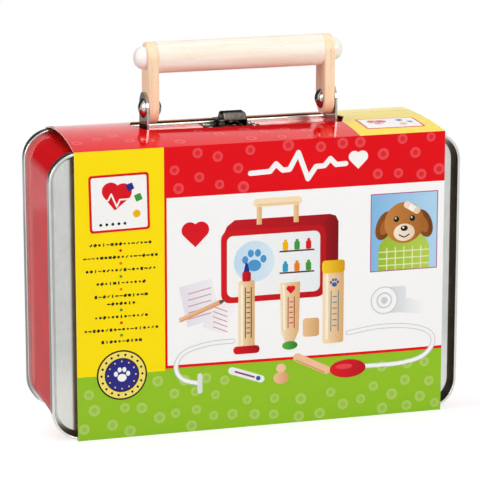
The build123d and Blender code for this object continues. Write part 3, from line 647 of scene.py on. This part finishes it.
def on_front(u, v, turn=0.0):
    """A place on the front, from the sleeve's lower left corner."""
    corner = Matrix.Translation((sleeve_left, sleeve_front, sleeve_foot))
    return corner @ Matrix.Rotation(math.pi / 2, 4, "X") @ shift(u, v, turn)


def facing_back(x, y, z):
    """A flat place that faces the back of the case."""
    half_turn = Matrix.Rotation(math.pi, 4, "Z")
    return Matrix.Translation((x, y, z)) @ half_turn @ Matrix.Rotation(math.pi / 2, 4, "X")


def on_back(u, v, turn=0.0):
    """As on_front, from the lower left corner of the back as it is seen from behind."""
    sleeve_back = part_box("sleeve_back")[1].y
    return facing_back(sleeve_right, sleeve_back, sleeve_foot) @ shift(u, v, turn)


print("front starts at", [round(v / MM, 1) for v in on_front(0, 0).translation], "mm")

# %% [markdown]
# ### Shapes of ink
# The print comes from a few shapes. Each is made flat by one operator and then extruded by its
# layer's height. Two shapes that touch in one plane would flicker, so each stands a hair above the
# last. A second colour shades a shape from left to right, which is how a printed toy looks round.

# %% Discs, panels and outlines
ink_step = 0.02 * MM     # thickness of one layer
hair = 0.09              # share of a layer between one shape and the next


class Print:
    """Flat shapes of ink on one side of the sleeve or on a toy."""

    def __init__(self):
        self.bm = bmesh.new()
        self.ink = self.bm.loops.layers.float_color.new("ink")
        self.shapes = 0

    def raise_from(self, count, place, colour, layer, shade=None):
        """Gives the faces made since there were count of them their thickness and colour."""
        self.shapes += 1
        height = ink_step * (layer + 1 + hair * (self.shapes % 10))
        self.bm.faces.ensure_lookup_table()
        outward = (place.to_3x3() @ Vector((0, 0, 1))).normalized()
        grown = bmesh.ops.extrude_face_region(self.bm, geom=self.bm.faces[count:])["geom"]
        top = [v for v in grown if isinstance(v, bmesh.types.BMVert)]
        bmesh.ops.translate(self.bm, verts=top, vec=outward * height)
        self.bm.faces.ensure_lookup_table()
        corners = [corner for face in self.bm.faces[count:] for corner in face.loops]
        home = place.inverted()
        across = [(home @ corner.vert.co).x for corner in corners]
        low, width = min(across), max(max(across) - min(across), 1e-9)
        near, far = Vector(srgb(colour)), Vector(srgb(shade or colour))
        for corner, x in zip(corners, across):
            corner[self.ink] = near.lerp(far, (x - low) / width)

    def disc(self, place, radius, colour, layer=1, flatten=1.0, sides=24, shade=None):
        count = len(self.bm.faces)
        size = Matrix.Diagonal((1, flatten, 1, 1))
        bmesh.ops.create_circle(self.bm, cap_ends=True, radius=radius * MM, segments=sides,
                                matrix=place @ size)
        self.raise_from(count, place, colour, layer, shade)

    def panel(self, place, width, height, colour, layer=1, corner=0.0, shade=None):
        count = len(self.bm.faces)
        size = Matrix.Diagonal((width * MM, height * MM, 1, 1))
        made = bmesh.ops.create_grid(self.bm, x_segments=1, y_segments=1, size=0.5,
                                     matrix=place @ size)
        if corner:
            bmesh.ops.bevel(self.bm, geom=made["verts"], offset=corner * MM, affect="VERTICES",
                            segments=4, profile=0.5, material=-1)
        self.raise_from(count, place, colour, layer, shade)

    def outline(self, place, points, colour, layer=1, shade=None):
        count = len(self.bm.faces)
        corners = [place @ Vector((u * MM, v * MM, 0)) for u, v in points]
        self.bm.faces.new([self.bm.verts.new(corner) for corner in corners])
        self.raise_from(count, place, colour, layer, shade)

    def finish(self, name, body):
        bmesh.ops.recalc_face_normals(self.bm, faces=self.bm.faces)
        made = as_object(self.bm, name)
        made.data.materials.append(print_ink)
        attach(made, body)
        print(name, len(made.data.polygons), "faces")


front_print, top_print, back_print = Print(), Print(), Print()

# %% [markdown]
# Two kinds of line are built from these. A stroke has sharp bends, so panels and discs do for it.
# A ribbon is smooth: a short edge across the line is extruded from point to point, which leaves no
# joints to show.

# %% Strokes and ribbons
def stroke(drawing, place, points, width, colour, layer=1):
    """A line with round ends and sharp bends through points."""
    for (u0, v0), (u1, v1) in zip(points, points[1:]):
        slope = math.degrees(math.atan2(v1 - v0, u1 - u0))
        middle = place @ shift((u0 + u1) / 2, (v0 + v1) / 2, slope)
        drawing.panel(middle, math.hypot(u1 - u0, v1 - v0), width, colour, layer)
    for u, v in points:
        drawing.disc(place @ shift(u, v), width / 2, colour, layer, sides=12)


def smooth(points, steps=6):
    """More points on a smooth line through the given ones."""
    ends = [points[0], *points, points[-1]]
    line = []
    for a, b, c, d in zip(ends, ends[1:], ends[2:], ends[3:]):
        a, b, c, d = (Vector(p) for p in (a, b, c, d))
        for k in range(steps):
            t = k / steps
            line.append(0.5 * (2 * b + (c - a) * t + (2 * a - 5 * b + 4 * c - d) * t ** 2
                               + (3 * b - a - 3 * c + d) * t ** 3))
    return line + [Vector(points[-1])]


def ribbon(drawing, place, points, width, colour, layer=1):
    """A smooth line with round ends through points."""
    bm = drawing.bm
    count = len(bm.faces)
    line = smooth(points)
    edge = None
    for k, spot in enumerate(line):
        along = (line[min(k + 1, len(line) - 1)] - line[max(k - 1, 0)]).normalized()
        side = Vector((-along.y, along.x)) * width / 2
        ends = [place @ (Vector((*(spot + way * side), 0)) * MM) for way in (1, -1)]
        if edge is None:
            edge = bm.edges.new([bm.verts.new(end) for end in ends])
            left = edge.verts[0].co.copy()
            continue
        grown = bmesh.ops.extrude_edge_only(bm, edges=[edge])["geom"]
        fresh = [v for v in grown if isinstance(v, bmesh.types.BMVert)]
        fresh.sort(key=lambda v: (v.co - left).length)
        fresh[0].co, fresh[1].co = ends
        left = ends[0]
        edge = bm.edges.get(fresh)
    drawing.raise_from(count, place, colour, layer)
    for spot in (line[0], line[-1]):
        drawing.disc(place @ shift(*spot), width / 2, colour, layer, sides=16)


print("a line through 3 points has", len(smooth([(0, 0), (1, 1), (2, 0)])), "points")

# %% [markdown]
# A heart is a square on its corner with a disc on each upper side, and a paw is a flat pad with
# four toes. Both are sized by their width.

# %% Hearts and paws
heart_width = 1.71     # in sides of its square: half the diagonal and two half discs
lobe_step = 0.354      # a quarter of the diagonal, to the middle of an upper side


def heart(drawing, place, size, colour, layer=1):
    side = size / heart_width
    drawing.panel(place @ shift(0, 0, 45), side, side, colour, layer)
    for way in (-1, 1):
        lobe = place @ shift(way * side * lobe_step, side * lobe_step)
        drawing.disc(lobe, side / 2, colour, layer)


def paw(drawing, place, size, colour, layer=1):
    drawing.disc(place @ shift(0, -0.16 * size), 0.27 * size, colour, layer, flatten=0.85)
    for u, v in ((-0.36, 0.08), (-0.14, 0.32), (0.14, 0.32), (0.36, 0.08)):
        drawing.disc(place @ shift(u * size, v * size), 0.12 * size, colour, layer, flatten=1.25)


print("a heart 14 mm wide starts from a square of", round(14 / heart_width, 1), "mm")

# %% [markdown]
# ### The yellow column
# It carries a framed heart, rows of tiny signs and a round badge. A few inks come back in every
# drawing, so they are named once. A printed frame is two panels, where the upper and smaller one
# leaves a red edge all round.

# %% Inks
red, deep_red, white, black = "#DE1020", "#A60C18", "#FBFBFA", "#1C1B1A"
blue, yellow, leaf, orange = "#2C2A86", "#F5B800", "#3F9A3A", "#E9820F"
wood_light, wood_mid, wood_dark, wood_shine = "#FBE4BF", "#F4D09C", "#DFAE74", "#FFF3DC"
peach, peach_dark, pale, pale_edge = "#F3C59A", "#DE9F70", "#F1F3F4", "#CDD3D8"
lemon, grass_green, grass_light, rule = "#F9E36B", "#9DBE2F", "#BAD455", "#C58FA0"
print("red ink", [round(c, 3) for c in srgb(red)[:3]])


# %% Framed heart
def framed_heart(drawing, at):
    drawing.panel(at, 30.0, 28.5, red, 1, corner=1.6)
    drawing.panel(at, 27.6, 26.1, white, 2, corner=1.0)
    heart(drawing, at @ shift(-1.5, 2.5, -8), 15, red, 3)
    beat = [(0, 0), (4, 0), (5.6, 3), (8.2, -3.4), (9.8, 0), (16, 0)]
    stroke(drawing, at @ shift(-9.5, 1.5), beat, 0.8, white, 4)
    drawing.panel(at @ shift(5.5, 7.5, 20), 3.4, 3.4, blue, 5, corner=0.5)
    drawing.panel(at @ shift(9.5, 2, 20), 3.4, 3.4, leaf, 3, corner=0.5)
    drawing.disc(at @ shift(8.5, -6), 1.9, yellow, 3)
    for k in range(5):
        drawing.disc(at @ shift(-9.5 + 3 * k, -10.4), 0.75, black, 3, sides=10)


framed_heart(front_print, on_front(22.0, 119, 1))
print("framed heart", front_print.shapes, "shapes")

# %% [markdown]
# Where a real sleeve has lines of words, this one has rows of dots, dashes and squares, so they say
# nothing in any language. They are drawn at random, and a fixed seed gives the same rows each time.
# Between the rows sit small coloured dots.

# %% Rows of signs
sign_pitch = 2.1
share_of_dots = 0.4


def sign_row(drawing, at, count):
    """Tiny printed signs: dots, dashes and squares."""
    for k in range(count):
        across = (k - (count - 1) / 2) * sign_pitch
        spot = at @ shift(across, 0, random.choice((0, 45, 90)))
        if random.random() < share_of_dots:
            drawing.disc(spot, random.uniform(0.5, 0.75), black, 1, sides=10)
        else:
            drawing.panel(spot, 1.6, random.choice((0.5, 0.7, 1.3)), black, 1)


random.seed(11)
column_middle = 22.4
for v, count in ((98.5, 15), (92.0, 18), (85.5, 17), (79.0, 12), (72.5, 13), (68.6, 7),
                 (62.0, 13), (55.5, 18), (49.5, 10)):
    sign_row(front_print, on_front(column_middle, v), count)
for v, colour in ((95.2, red), (88.8, orange), (82.2, leaf), (75.8, orange), (65.3, leaf),
                  (58.8, red), (52.5, leaf)):
    front_print.disc(on_front(column_middle, v), 0.75, colour, 1, sides=10)
print("column", front_print.shapes, "shapes")

# %% [markdown]
# The badge is four discs on top of each other, each on a higher layer, with two rings of beads and
# a paw. A turn followed by a step outwards puts each bead at its place on the ring.

# %% Badge
def badge(drawing, at):
    rounds = ((12.7, black, 1), (11.9, lemon, 2), (8.7, black, 3), (8.2, blue, 4))
    for radius, colour, layer in rounds:
        drawing.disc(at, radius, colour, layer, sides=48)
    for k in range(18):
        drawing.disc(at @ shift(0, 0, 20 * k) @ shift(10.3, 0), 0.62, black, 3, sides=10)
    for k in range(12):
        drawing.disc(at @ shift(0, 0, 30 * k) @ shift(7.0, 0), 0.4, lemon, 5, sides=8)
    paw(drawing, at, 8.5, white, 5)


badge(front_print, on_front(column_middle, 32.2))
print("badge", front_print.shapes, "shapes")

# %% [markdown]
# ### The red band and the rings
# The red band carries a white heartbeat line. Pale rings are scattered over the red and the green,
# at random but never nearer than a set gap, which looks more even than chance alone. They keep off
# the pictures too. A fixed seed gives the same rings each time.

# %% Heartbeat and rings
def heartbeat(drawing, at):
    beat = [(0, 0), (10, 0.4), (13, 4), (16.5, 0.6), (20, 0.8), (24.5, 9), (29.5, -4.5),
            (33.5, 1.4), (38, 1.6), (41, 5), (44, 1.8), (49, 2)]
    stroke(drawing, at, beat, 2.6, white, 2)
    heart(drawing, at @ shift(55.5, 3.1), 10, white, 2)


def scatter(drawing, place_of, u_range, v_range, count, gap, colours, keep_out=()):
    """Rings that keep a gap from each other and stay off the pictures."""
    placed = []
    tries = 40 * count     # so that it ends even where the rings don't all fit
    for attempt in range(tries):
        if len(placed) == count:
            break
        u, v = random.uniform(*u_range), random.uniform(*v_range)
        near = any(math.hypot(u - a, v - b) < gap for a, b in placed)
        covered = any(u0 < u < u1 and v0 < v < v1 for u0, u1, v0, v1 in keep_out)
        if near or covered:
            continue
        placed.append((u, v))
        size = random.uniform(2.3, 3.0)
        drawing.disc(place_of(u, v), size, colours[0], 0, sides=16)
        drawing.disc(place_of(u, v), size * 0.5, colours[1], 1, sides=12)


random.seed(5)
green_ring, red_ring = ("#B2D265", "#9FC848"), ("#EE4A50", "#E52630")
green_rows, red_rows = (3, 29), (122.5, 142.5)
heartbeat(front_print, on_front(88, 129.5))
scatter(front_print, on_front, (3, 186), green_rows, 42, 8.2, green_ring,
        keep_out=((6, 39, 16, 46), (76, 152, 16, 40)))
scatter(front_print, on_front, (48, 186), red_rows, 24, 8.6, red_ring,
        keep_out=((85, 150, 121, 140.5),))
scatter(top_print, shift, (3, 140), (3, 22), 18, 9.0, red_ring)
scatter(back_print, on_back, (3, 186), green_rows, 56, 8.2, green_ring)
scatter(back_print, on_back, (3, 141), red_rows, 24, 8.6, red_ring,
        keep_out=((40, 104, 121, 140.5),))
print("rings", front_print.shapes, top_print.shapes, back_print.shapes, "shapes")

# %% [markdown]
# ### The white field
# It shows what is in the case: a doctor's bag, a syringe, a bottle and a tube. A framed puppy with
# a plaster on its head stands for the patient. Each toy is a function, because the back shows the
# same toys again in small frames.

# %% Doctor's bag
def doctors_bag(drawing, at):
    lid = [(-26, 15), (-24, 19.5), (-20, 22.5), (29, 22.5), (29, 16)]
    end = [(24, 17), (29, 22.5), (32, 21.5), (33.5, 18.5), (33.5, -11), (32, -14.5), (24, -19)]
    drawing.outline(at, lid, "#C91422", 1, shade=deep_red)
    drawing.outline(at, end, deep_red, 2, shade="#7E0812")
    drawing.panel(at @ shift(0, -1), 54, 37, "#D8131F", 3, corner=4.5, shade="#BE0E1B")
    drawing.panel(at @ shift(0, -1), 48, 31, white, 4, corner=3, shade="#EDF2F6")
    for u in (-7.5, 11.5):
        drawing.panel(at @ shift(u, 25), 2.6, 11, wood_mid, 3, shade=wood_dark)
    drawing.panel(at @ shift(2, 30.5), 25, 4.2, wood_light, 4, corner=1.9)
    drawing.panel(at @ shift(2, 29.4), 22, 1.1, wood_mid, 5, corner=0.5)
    drawing.disc(at @ shift(-10, 1), 10.5, "#C4E0F4", 5, shade="#DCEDF9")
    paw(drawing, at @ shift(-10, 1), 13, "#4C97D0", 6)
    shelves = ((5, ((6, yellow), (12, leaf), (18, red))),
               (-6, ((6, "#2E9BC4"), (12, orange), (18, leaf))))
    for v, bottles in shelves:
        drawing.panel(at @ shift(12, v), 18, 0.8, "#5A2A20", 5)
        for u, colour in bottles:
            drawing.panel(at @ shift(u, v + 2.6), 2.8, 4.2, colour, 5, corner=0.6)
            drawing.panel(at @ shift(u, v + 5.2), 1.5, 1.4, colour, 6)


doctors_bag(front_print, on_front(100, 84))
print("bag", front_print.shapes, "shapes")

# %% [markdown]
# The puppy is built of discs, from the ears at the back to the eyes in front. The number after each
# ink is its layer, which says what covers what.

# %% Framed puppy
def checked_shirt(drawing, at):
    drawing.disc(at @ shift(0, -9.5), 13.5, grass_green, 3, flatten=0.74, shade=grass_light)
    drawing.panel(at @ shift(0, -14.4), 27, 10.2, grass_green, 3, shade=grass_light)
    for u in (-9, -4.5, 0, 4.5, 9):
        drawing.panel(at @ shift(u, -13.5), 0.6, 11.5, "#E4EFB8", 4)
    for v in (-17, -13.5, -10):
        drawing.panel(at @ shift(0, v), 26.6, 0.6, "#E4EFB8", 4)


def puppy_picture(drawing, at):
    drawing.panel(at, 35.5, 40, "#B3558C", 1)
    drawing.panel(at, 34.5, 39, "#86BCE6", 2, shade="#B4DAF3")
    checked_shirt(drawing, at)
    for way in (-1, 1):
        ear = at @ shift(10.5 * way, 3.5, 20 * way)
        inner_ear = at @ shift(10.2 * way, 3.0, 20 * way)
        drawing.disc(ear, 4.2, "#8F521E", 5, flatten=1.8, shade="#6F3A12")
        drawing.disc(inner_ear, 2.3, "#A9682E", 6, flatten=1.9)
    drawing.disc(at @ shift(0, 4.5), 10.5, "#C98440", 7, sides=32, shade="#A8652A")
    drawing.disc(at @ shift(0, -0.5), 5.6, "#FAEBD6", 8, flatten=0.8, shade="#EBD3B4")
    drawing.disc(at @ shift(0, 1.6), 1.9, black, 9, flatten=0.75)
    drawing.disc(at @ shift(-0.5, 2.0), 0.5, white, 10, sides=8)
    ribbon(drawing, at @ shift(0, -2.2), [(-2.6, 0.6), (0, -0.7), (2.6, 0.6)], 0.6, black, 9)
    for way in (-1, 1):
        drawing.disc(at @ shift(4.2 * way, 6.5), 1.5, black, 9, sides=14)
        drawing.disc(at @ shift(4.2 * way - 0.4, 7.0), 0.45, white, 10, sides=8)
    plaster = at @ shift(4, 12, -32)
    drawing.panel(plaster, 9.5, 3.6, "#F6E3CF", 9, corner=1.6, shade="#E9CBAE")
    drawing.panel(plaster, 3.2, 3.0, "#FDF6EC", 10, corner=0.4)


puppy_picture(front_print, on_front(168, 95))
heart(front_print, on_front(60, 100), 14, red, 1)
print("puppy", front_print.shapes, "shapes")

# %% [markdown]
# The tall toys are turned wood, so each has a pale streak near its left and is shaded to the right.
# Each has a measuring scale down its middle.

# %% Syringe, bottle and tube
def ticks(drawing, at, count, step, width, colour):
    """A measuring scale on the eighth layer: two rails and short marks."""
    for side in (-1, 1):
        drawing.panel(at @ shift(side * width / 2, 0), 0.45, step * (count + 1), colour, 8)
    for k in range(count):
        height = (k - (count - 1) / 2) * step
        drawing.panel(at @ shift(0, height), width * 0.6, 0.45, colour, 8)


def syringe(drawing, at):
    drawing.panel(at, 8.4, 35, wood_light, 6, corner=1.2, shade=wood_dark)
    drawing.panel(at @ shift(-2.4, 0), 1.2, 31, wood_shine, 7, corner=0.5)
    drawing.panel(at @ shift(0, -18), 13.5, 4.0, red, 8, corner=1.8, shade=deep_red)
    drawing.panel(at @ shift(0, 19.5), 4.4, 5, red, 8, corner=1.0, shade=deep_red)
    drawing.outline(at @ shift(0, 22), [(-1.5, 0), (1.5, 0), (0.5, 4.5), (-0.5, 4.5)], blue, 8)
    ticks(drawing, at @ shift(0.9, 1), 9, 2.6, 3.0, black)


def bottle(drawing, at):
    body = [(-5.2, 16), (5.2, 16), (4.6, -9), (2.2, -15), (-2.2, -15), (-4.6, -9)]
    streak = [(-3.9, 15), (-2.8, 15), (-2.3, -8.5), (-3.3, -8.5)]
    drawing.outline(at, body, wood_light, 6, shade=wood_dark)
    drawing.outline(at, streak, wood_shine, 7)
    drawing.disc(at @ shift(0, -16.5), 4.0, "#58B24A", 8, flatten=0.55, shade="#2F7D2E")
    heart(drawing, at @ shift(0.4, 12), 4.6, red, 8)
    ticks(drawing, at @ shift(0.6, 0.5), 5, 2.7, 3.2, "#B3242C")


def capped_tube(drawing, at):
    drawing.panel(at, 11, 38, wood_light, 6, corner=1.4, shade=wood_dark)
    drawing.panel(at @ shift(-3.3, 0), 1.4, 34, wood_shine, 7, corner=0.5)
    drawing.panel(at @ shift(0, 20.5), 11.8, 6.5, "#FAD02C", 8, corner=1.6, shade="#D89A08")
    paw(drawing, at @ shift(0.6, 12), 5, "#2467AE", 8)
    ticks(drawing, at @ shift(0.8, -2.5), 6, 3.0, 3.8, "#2F8397")


syringe(front_print, on_front(86, 58))
bottle(front_print, on_front(108.5, 57))
front_print.panel(on_front(119.5, 49), 8.5, 9.5, "#F2C896", 5, corner=1.5, shade="#D9A36C")
capped_tube(front_print, on_front(131, 59))
print("tall toys", front_print.shapes, "shapes")

# %% [markdown]
# The flat toys are stacks of panels. The bandage is rolled, so its discs are grey and white by
# turns, which shows the windings, and its loose end fades out to the right.

# %% Notes, pencil and bandage
def notes_and_pencil(drawing, at):
    drawing.panel(at @ shift(0, 3, 12), 17, 21, "#E9E6EE", 1, shade="#F6F4F8")
    drawing.panel(at @ shift(10, -5, -24), 12, 15, "#F1EDF1", 2, shade="#FBF9FB")
    for k in range(5):
        drawing.panel(at @ shift(0, 9 - 3.2 * k, 12), 12, 0.45, rule, 3)
        drawing.panel(at @ shift(10.5, -1 - 2.6 * k, -24), 8, 0.45, rule, 3)
    slant = 20.5
    drawing.panel(at @ shift(0, -1.5, slant), 22, 2.4, peach, 4, shade="#EBB07E")
    drawing.panel(at @ shift(0.2, -2.1, slant), 22, 0.7, peach_dark, 5)
    drawing.outline(at @ shift(10.2, 2.3, slant), [(0, -1.2), (4, 0), (0, 1.2)], "#6B4A3A", 4)


def bandage(drawing, at):
    drawing.panel(at @ shift(5, 0), 13, 13.6, pale_edge, 1, corner=1.5, shade="#E6EAED")
    for layer, radius in enumerate((7.2, 6.6, 4.2, 3.4, 1.8), 2):
        drawing.disc(at, radius, white if layer % 2 else pale_edge, layer)
    loose_end = [(8, -6.8), (20, -8.6), (21.5, -2), (10, 1)]
    drawing.outline(at, loose_end, "#E2E6EA", 1, shade=white)


notes_and_pencil(front_print, on_front(62, 63))
bandage(front_print, on_front(158, 60))
print("toys", front_print.shapes, "shapes")

# %% [markdown]
# ### The green
# The stethoscope's white hose runs across the field and down over the green, as a ribbon with a
# slightly wider grey one under it for its edge. Small flat things lie beside it.

# %% Hose and small things on the green
def thermometer(drawing, at):
    stroke(drawing, at, [(-8, 0), (8, 0)], 3.8, pale, 3)
    drawing.panel(at @ shift(-1, 0), 11, 0.9, "#8C3B6B", 4)
    drawing.disc(at @ shift(6.5, 0), 1.2, "#2F5F9E", 4)


def spatula(drawing, at):
    stroke(drawing, at, [(-8.5, 0), (8.5, 0)], 4.4, peach, 3)
    drawing.panel(at @ shift(0, -1.5), 17, 0.8, peach_dark, 4)


hose_right = [(139, 44.5), (155, 46.5), (172, 45.5), (182.5, 41.5), (184, 35), (178, 29),
              (166, 26.5), (148, 26.5)]
hose_left = [(79, 45), (66, 44.5), (54, 41), (49.8, 34), (53, 27.5), (62, 24.5)]
for line in (hose_right, hose_left):
    ribbon(front_print, on_front(0, 0), line, 2.5, "#C9CFD4", 1)
    ribbon(front_print, on_front(0, 0), line, 1.7, white, 2)
stroke(front_print, on_front(62, 24.5), [(0, 4), (0, -4)], 2.6, "#E3E7EA", 3)
front_print.disc(on_front(139, 26), 9.5, "#E21526", 3, flatten=0.5, shade="#BE0C1A", sides=32)
front_print.disc(on_front(137, 27.2), 4.5, "#EE4350", 4, flatten=0.3)
spatula(front_print, on_front(120, 30, -27))
thermometer(front_print, on_front(86, 27, -20))
front_print.disc(on_front(104, 24), 4.0, peach, 3, flatten=0.8, shade=peach_dark)
front_print.disc(on_front(104, 29), 2.6, "#F6CFA8", 4, flatten=0.9, shade=peach)
front_print.finish("sleeve_print", "case")

# %% [markdown]
# ### The top
# The yellow patch on the top repeats the framed heart. The card is folded over as an arch, which is
# higher on the left than on the right. So the drawing is made flat, cut into strips and bent over
# the arch, or its middle would stand off the curve.

# %% Print of the top
arch_left = sleeve_high.z - fold_height
arch_right = 1.2 * MM
arch_half = -sleeve_front
strips = 14


def bend_over_arch(spot):
    """The place on the arch of a spot in the flat drawing of the top."""
    x, y = sleeve_left + spot.x, sleeve_front + spot.y
    share = spot.x / (sleeve_right - sleeve_left)
    rise = arch_left + (arch_right - arch_left) * share
    radius = (arch_half ** 2 + rise ** 2) / (2 * rise)
    return Vector((x, y, fold_height + rise - radius + math.sqrt(radius ** 2 - y ** 2) + spot.z))


def small_frame(drawing, at):
    drawing.panel(at, 31, 21, red, 1, corner=1.6)
    drawing.panel(at, 28.8, 18.8, white, 2, corner=1.0)
    heart(drawing, at @ shift(-6, 1), 10, red, 3)
    beat = [(0, 0), (3.5, 0), (4.8, 2.2), (6.6, -2.4), (8, 0), (12, 0)]
    stroke(drawing, at @ shift(-12, 0.5), beat, 0.7, white, 4)
    drawing.panel(at @ shift(6.5, 4.5, 20), 3.4, 3.4, blue, 3, corner=0.5)
    drawing.panel(at @ shift(10.8, 0.5, 20), 3.0, 3.0, leaf, 3, corner=0.5)
    drawing.disc(at @ shift(6, -3.5), 2.0, yellow, 3)


small_frame(top_print, shift(167, 21))
flat = top_print.bm
depths = [v.co.y for v in flat.verts]
nearest, deepest = min(depths), max(depths)
for k in range(1, strips):
    cut = nearest + (deepest - nearest) * k / strips
    bmesh.ops.bisect_plane(flat, geom=flat.verts[:] + flat.edges[:] + flat.faces[:],
                           plane_co=(0, cut, 0), plane_no=(0, 1, 0))
for vert in flat.verts:
    vert.co = bend_over_arch(vert.co)
top_print.finish("sleeve_print_top", "case")
print("arch", round(arch_left / MM, 1), "mm high on the left")

# %% [markdown]
# ### The back
# The back turns with the lid. The same toys stand on it in two rows of red frames, each shrunk or
# grown to fill its frame, beside a second yellow column.

# %% Print of the back
framed_toys = (     # toy, size, tilt in degrees, and how far it is moved left to look centred
    (syringe, 0.68, 0, 0), (bottle, 0.8, 0, 0), (capped_tube, 0.68, 0, 0),
    (notes_and_pencil, 0.85, 0, 3), (bandage, 0.8, 0, 5), (thermometer, 1.2, 55, 0),
    (spatula, 1.2, -50, 0), (doctors_bag, 0.42, 0, 0),
)
heartbeat(back_print, on_back(43, 129.5))
for k, (toy, size, tilt, left) in enumerate(framed_toys):
    u, v = 19 + 35 * (k % 4), 97.5 - 42 * (k // 4)
    back_print.panel(on_back(u, v), 31, 38, red, 0, corner=2.5)
    back_print.panel(on_back(u, v), 29, 36, white, 1, corner=1.8)
    toy(back_print, on_back(u - left, v, tilt) @ Matrix.Diagonal((size, size, 1, 1)))
framed_heart(back_print, on_back(167, 119))
back_middle = 166.6
for v, count in ((97, 15), (90, 18), (83, 14), (76, 17), (69, 12), (62, 16), (55, 9)):
    sign_row(back_print, on_back(back_middle, v), count)
badge(back_print, on_back(back_middle, 32.2))
back_print.finish("sleeve_print_back", "lid")

# %% [markdown]
# ### Marks on the toys
# The wooden tube and the syringe have a printed scale on the side that shows when the lid is open.
# Each mark is a short upright edge, spun part of the way round the turned wood. A spin leaves a
# sheet with no thickness, so all the marks are then made solid together.

# %% Scales on the round toys
mark_height = 0.7 * MM
mark_lift = 0.02 * MM
mark_thickness = 0.06 * MM
half_mark = 32.0     # degrees each way from the back of the toy
toy_marks = bmesh.new()
mark_ink = toy_marks.loops.layers.float_color.new("ink")


def ring_marks(node, lowest, pitch, count, colour):
    """Marks of two lengths by turns, from the lowest up, in millimetres."""
    low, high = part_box(node)
    middle = (low + high) / 2
    radius = (high.x - low.x) / 2 + mark_lift
    for k in range(count):
        reach = math.radians(half_mark * (1.0 if k % 2 else 0.6))
        level = Vector((middle.x, middle.y, (lowest + pitch * k) * MM))
        start = Matrix.Rotation(-reach, 3, "Z") @ Vector((0, radius, 0))
        foot = toy_marks.verts.new(level + start)
        head = toy_marks.verts.new(foot.co + Vector((0, 0, mark_height)))
        made_before = len(toy_marks.faces)
        bmesh.ops.spin(toy_marks, geom=[foot, head, toy_marks.edges.new((foot, head))],
                       cent=(middle.x, middle.y, 0), axis=(0, 0, 1), angle=2 * reach, steps=8)
        toy_marks.faces.ensure_lookup_table()
        for face in toy_marks.faces[made_before:]:
            for corner in face.loops:
                corner[mark_ink] = srgb(colour)


ring_marks("tube", 66, 5, 9, "#2F8397")
ring_marks("syringe_barrel", 34, 4, 13, black)
bmesh.ops.recalc_face_normals(toy_marks, faces=toy_marks.faces)
bmesh.ops.solidify(toy_marks, geom=toy_marks.faces[:], thickness=-mark_thickness)
bmesh.ops.recalc_face_normals(toy_marks, faces=toy_marks.faces)
marks = as_object(toy_marks, "toy_scales")
marks.data.materials.append(print_ink)
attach(marks, "case")
print("toy_scales", len(marks.data.polygons), "faces")

# %% [markdown]
# The flat things get flat marks, drawn as on the sleeve: a scale and a red thread on the
# thermometer, and ruled lines with a heart on the notes.

# %% Print on the flat things
def on_node(node, u, v):
    """A place on a node's face towards the back, from the middle of that face."""
    low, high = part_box(node)
    return facing_back((low.x + high.x) / 2, high.y, (low.z + high.z) / 2) @ shift(u, v)


flat_marks = Print()
flat_marks.panel(on_node("thermometer", 0, 4), 1.6, 70, white, 1, corner=0.7)
flat_marks.panel(on_node("thermometer", 0, -6), 0.8, 50, red, 2)
for k in range(15):
    mark_length = 1.6 if k % 5 else 2.6
    flat_marks.panel(on_node("thermometer", 3.2, -28 + 4.5 * k), mark_length, 0.5, black, 1)
for k in range(8):
    flat_marks.panel(on_node("prescription_notes", 0, 12 - 5 * k), 34, 0.5, rule, 1)
heart(flat_marks, on_node("prescription_notes", 0, 22), 7, red, 1)
flat_marks.finish("flat_marks", "case")

# %% [markdown]
# ## The end
# Standard view shows each colour as it was picked. The box of the whole is measured once more, and
# what the inks add to the imported case, a fraction of a millimetre, is printed.

# %% Sizes and the end
scene.view_settings.view_transform = "Standard"
new_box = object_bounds()
grown = [round((b - a) / MM, 2) for a, b in zip(case_box[1], new_box[1])]
print("the inks add", grown, "mm")
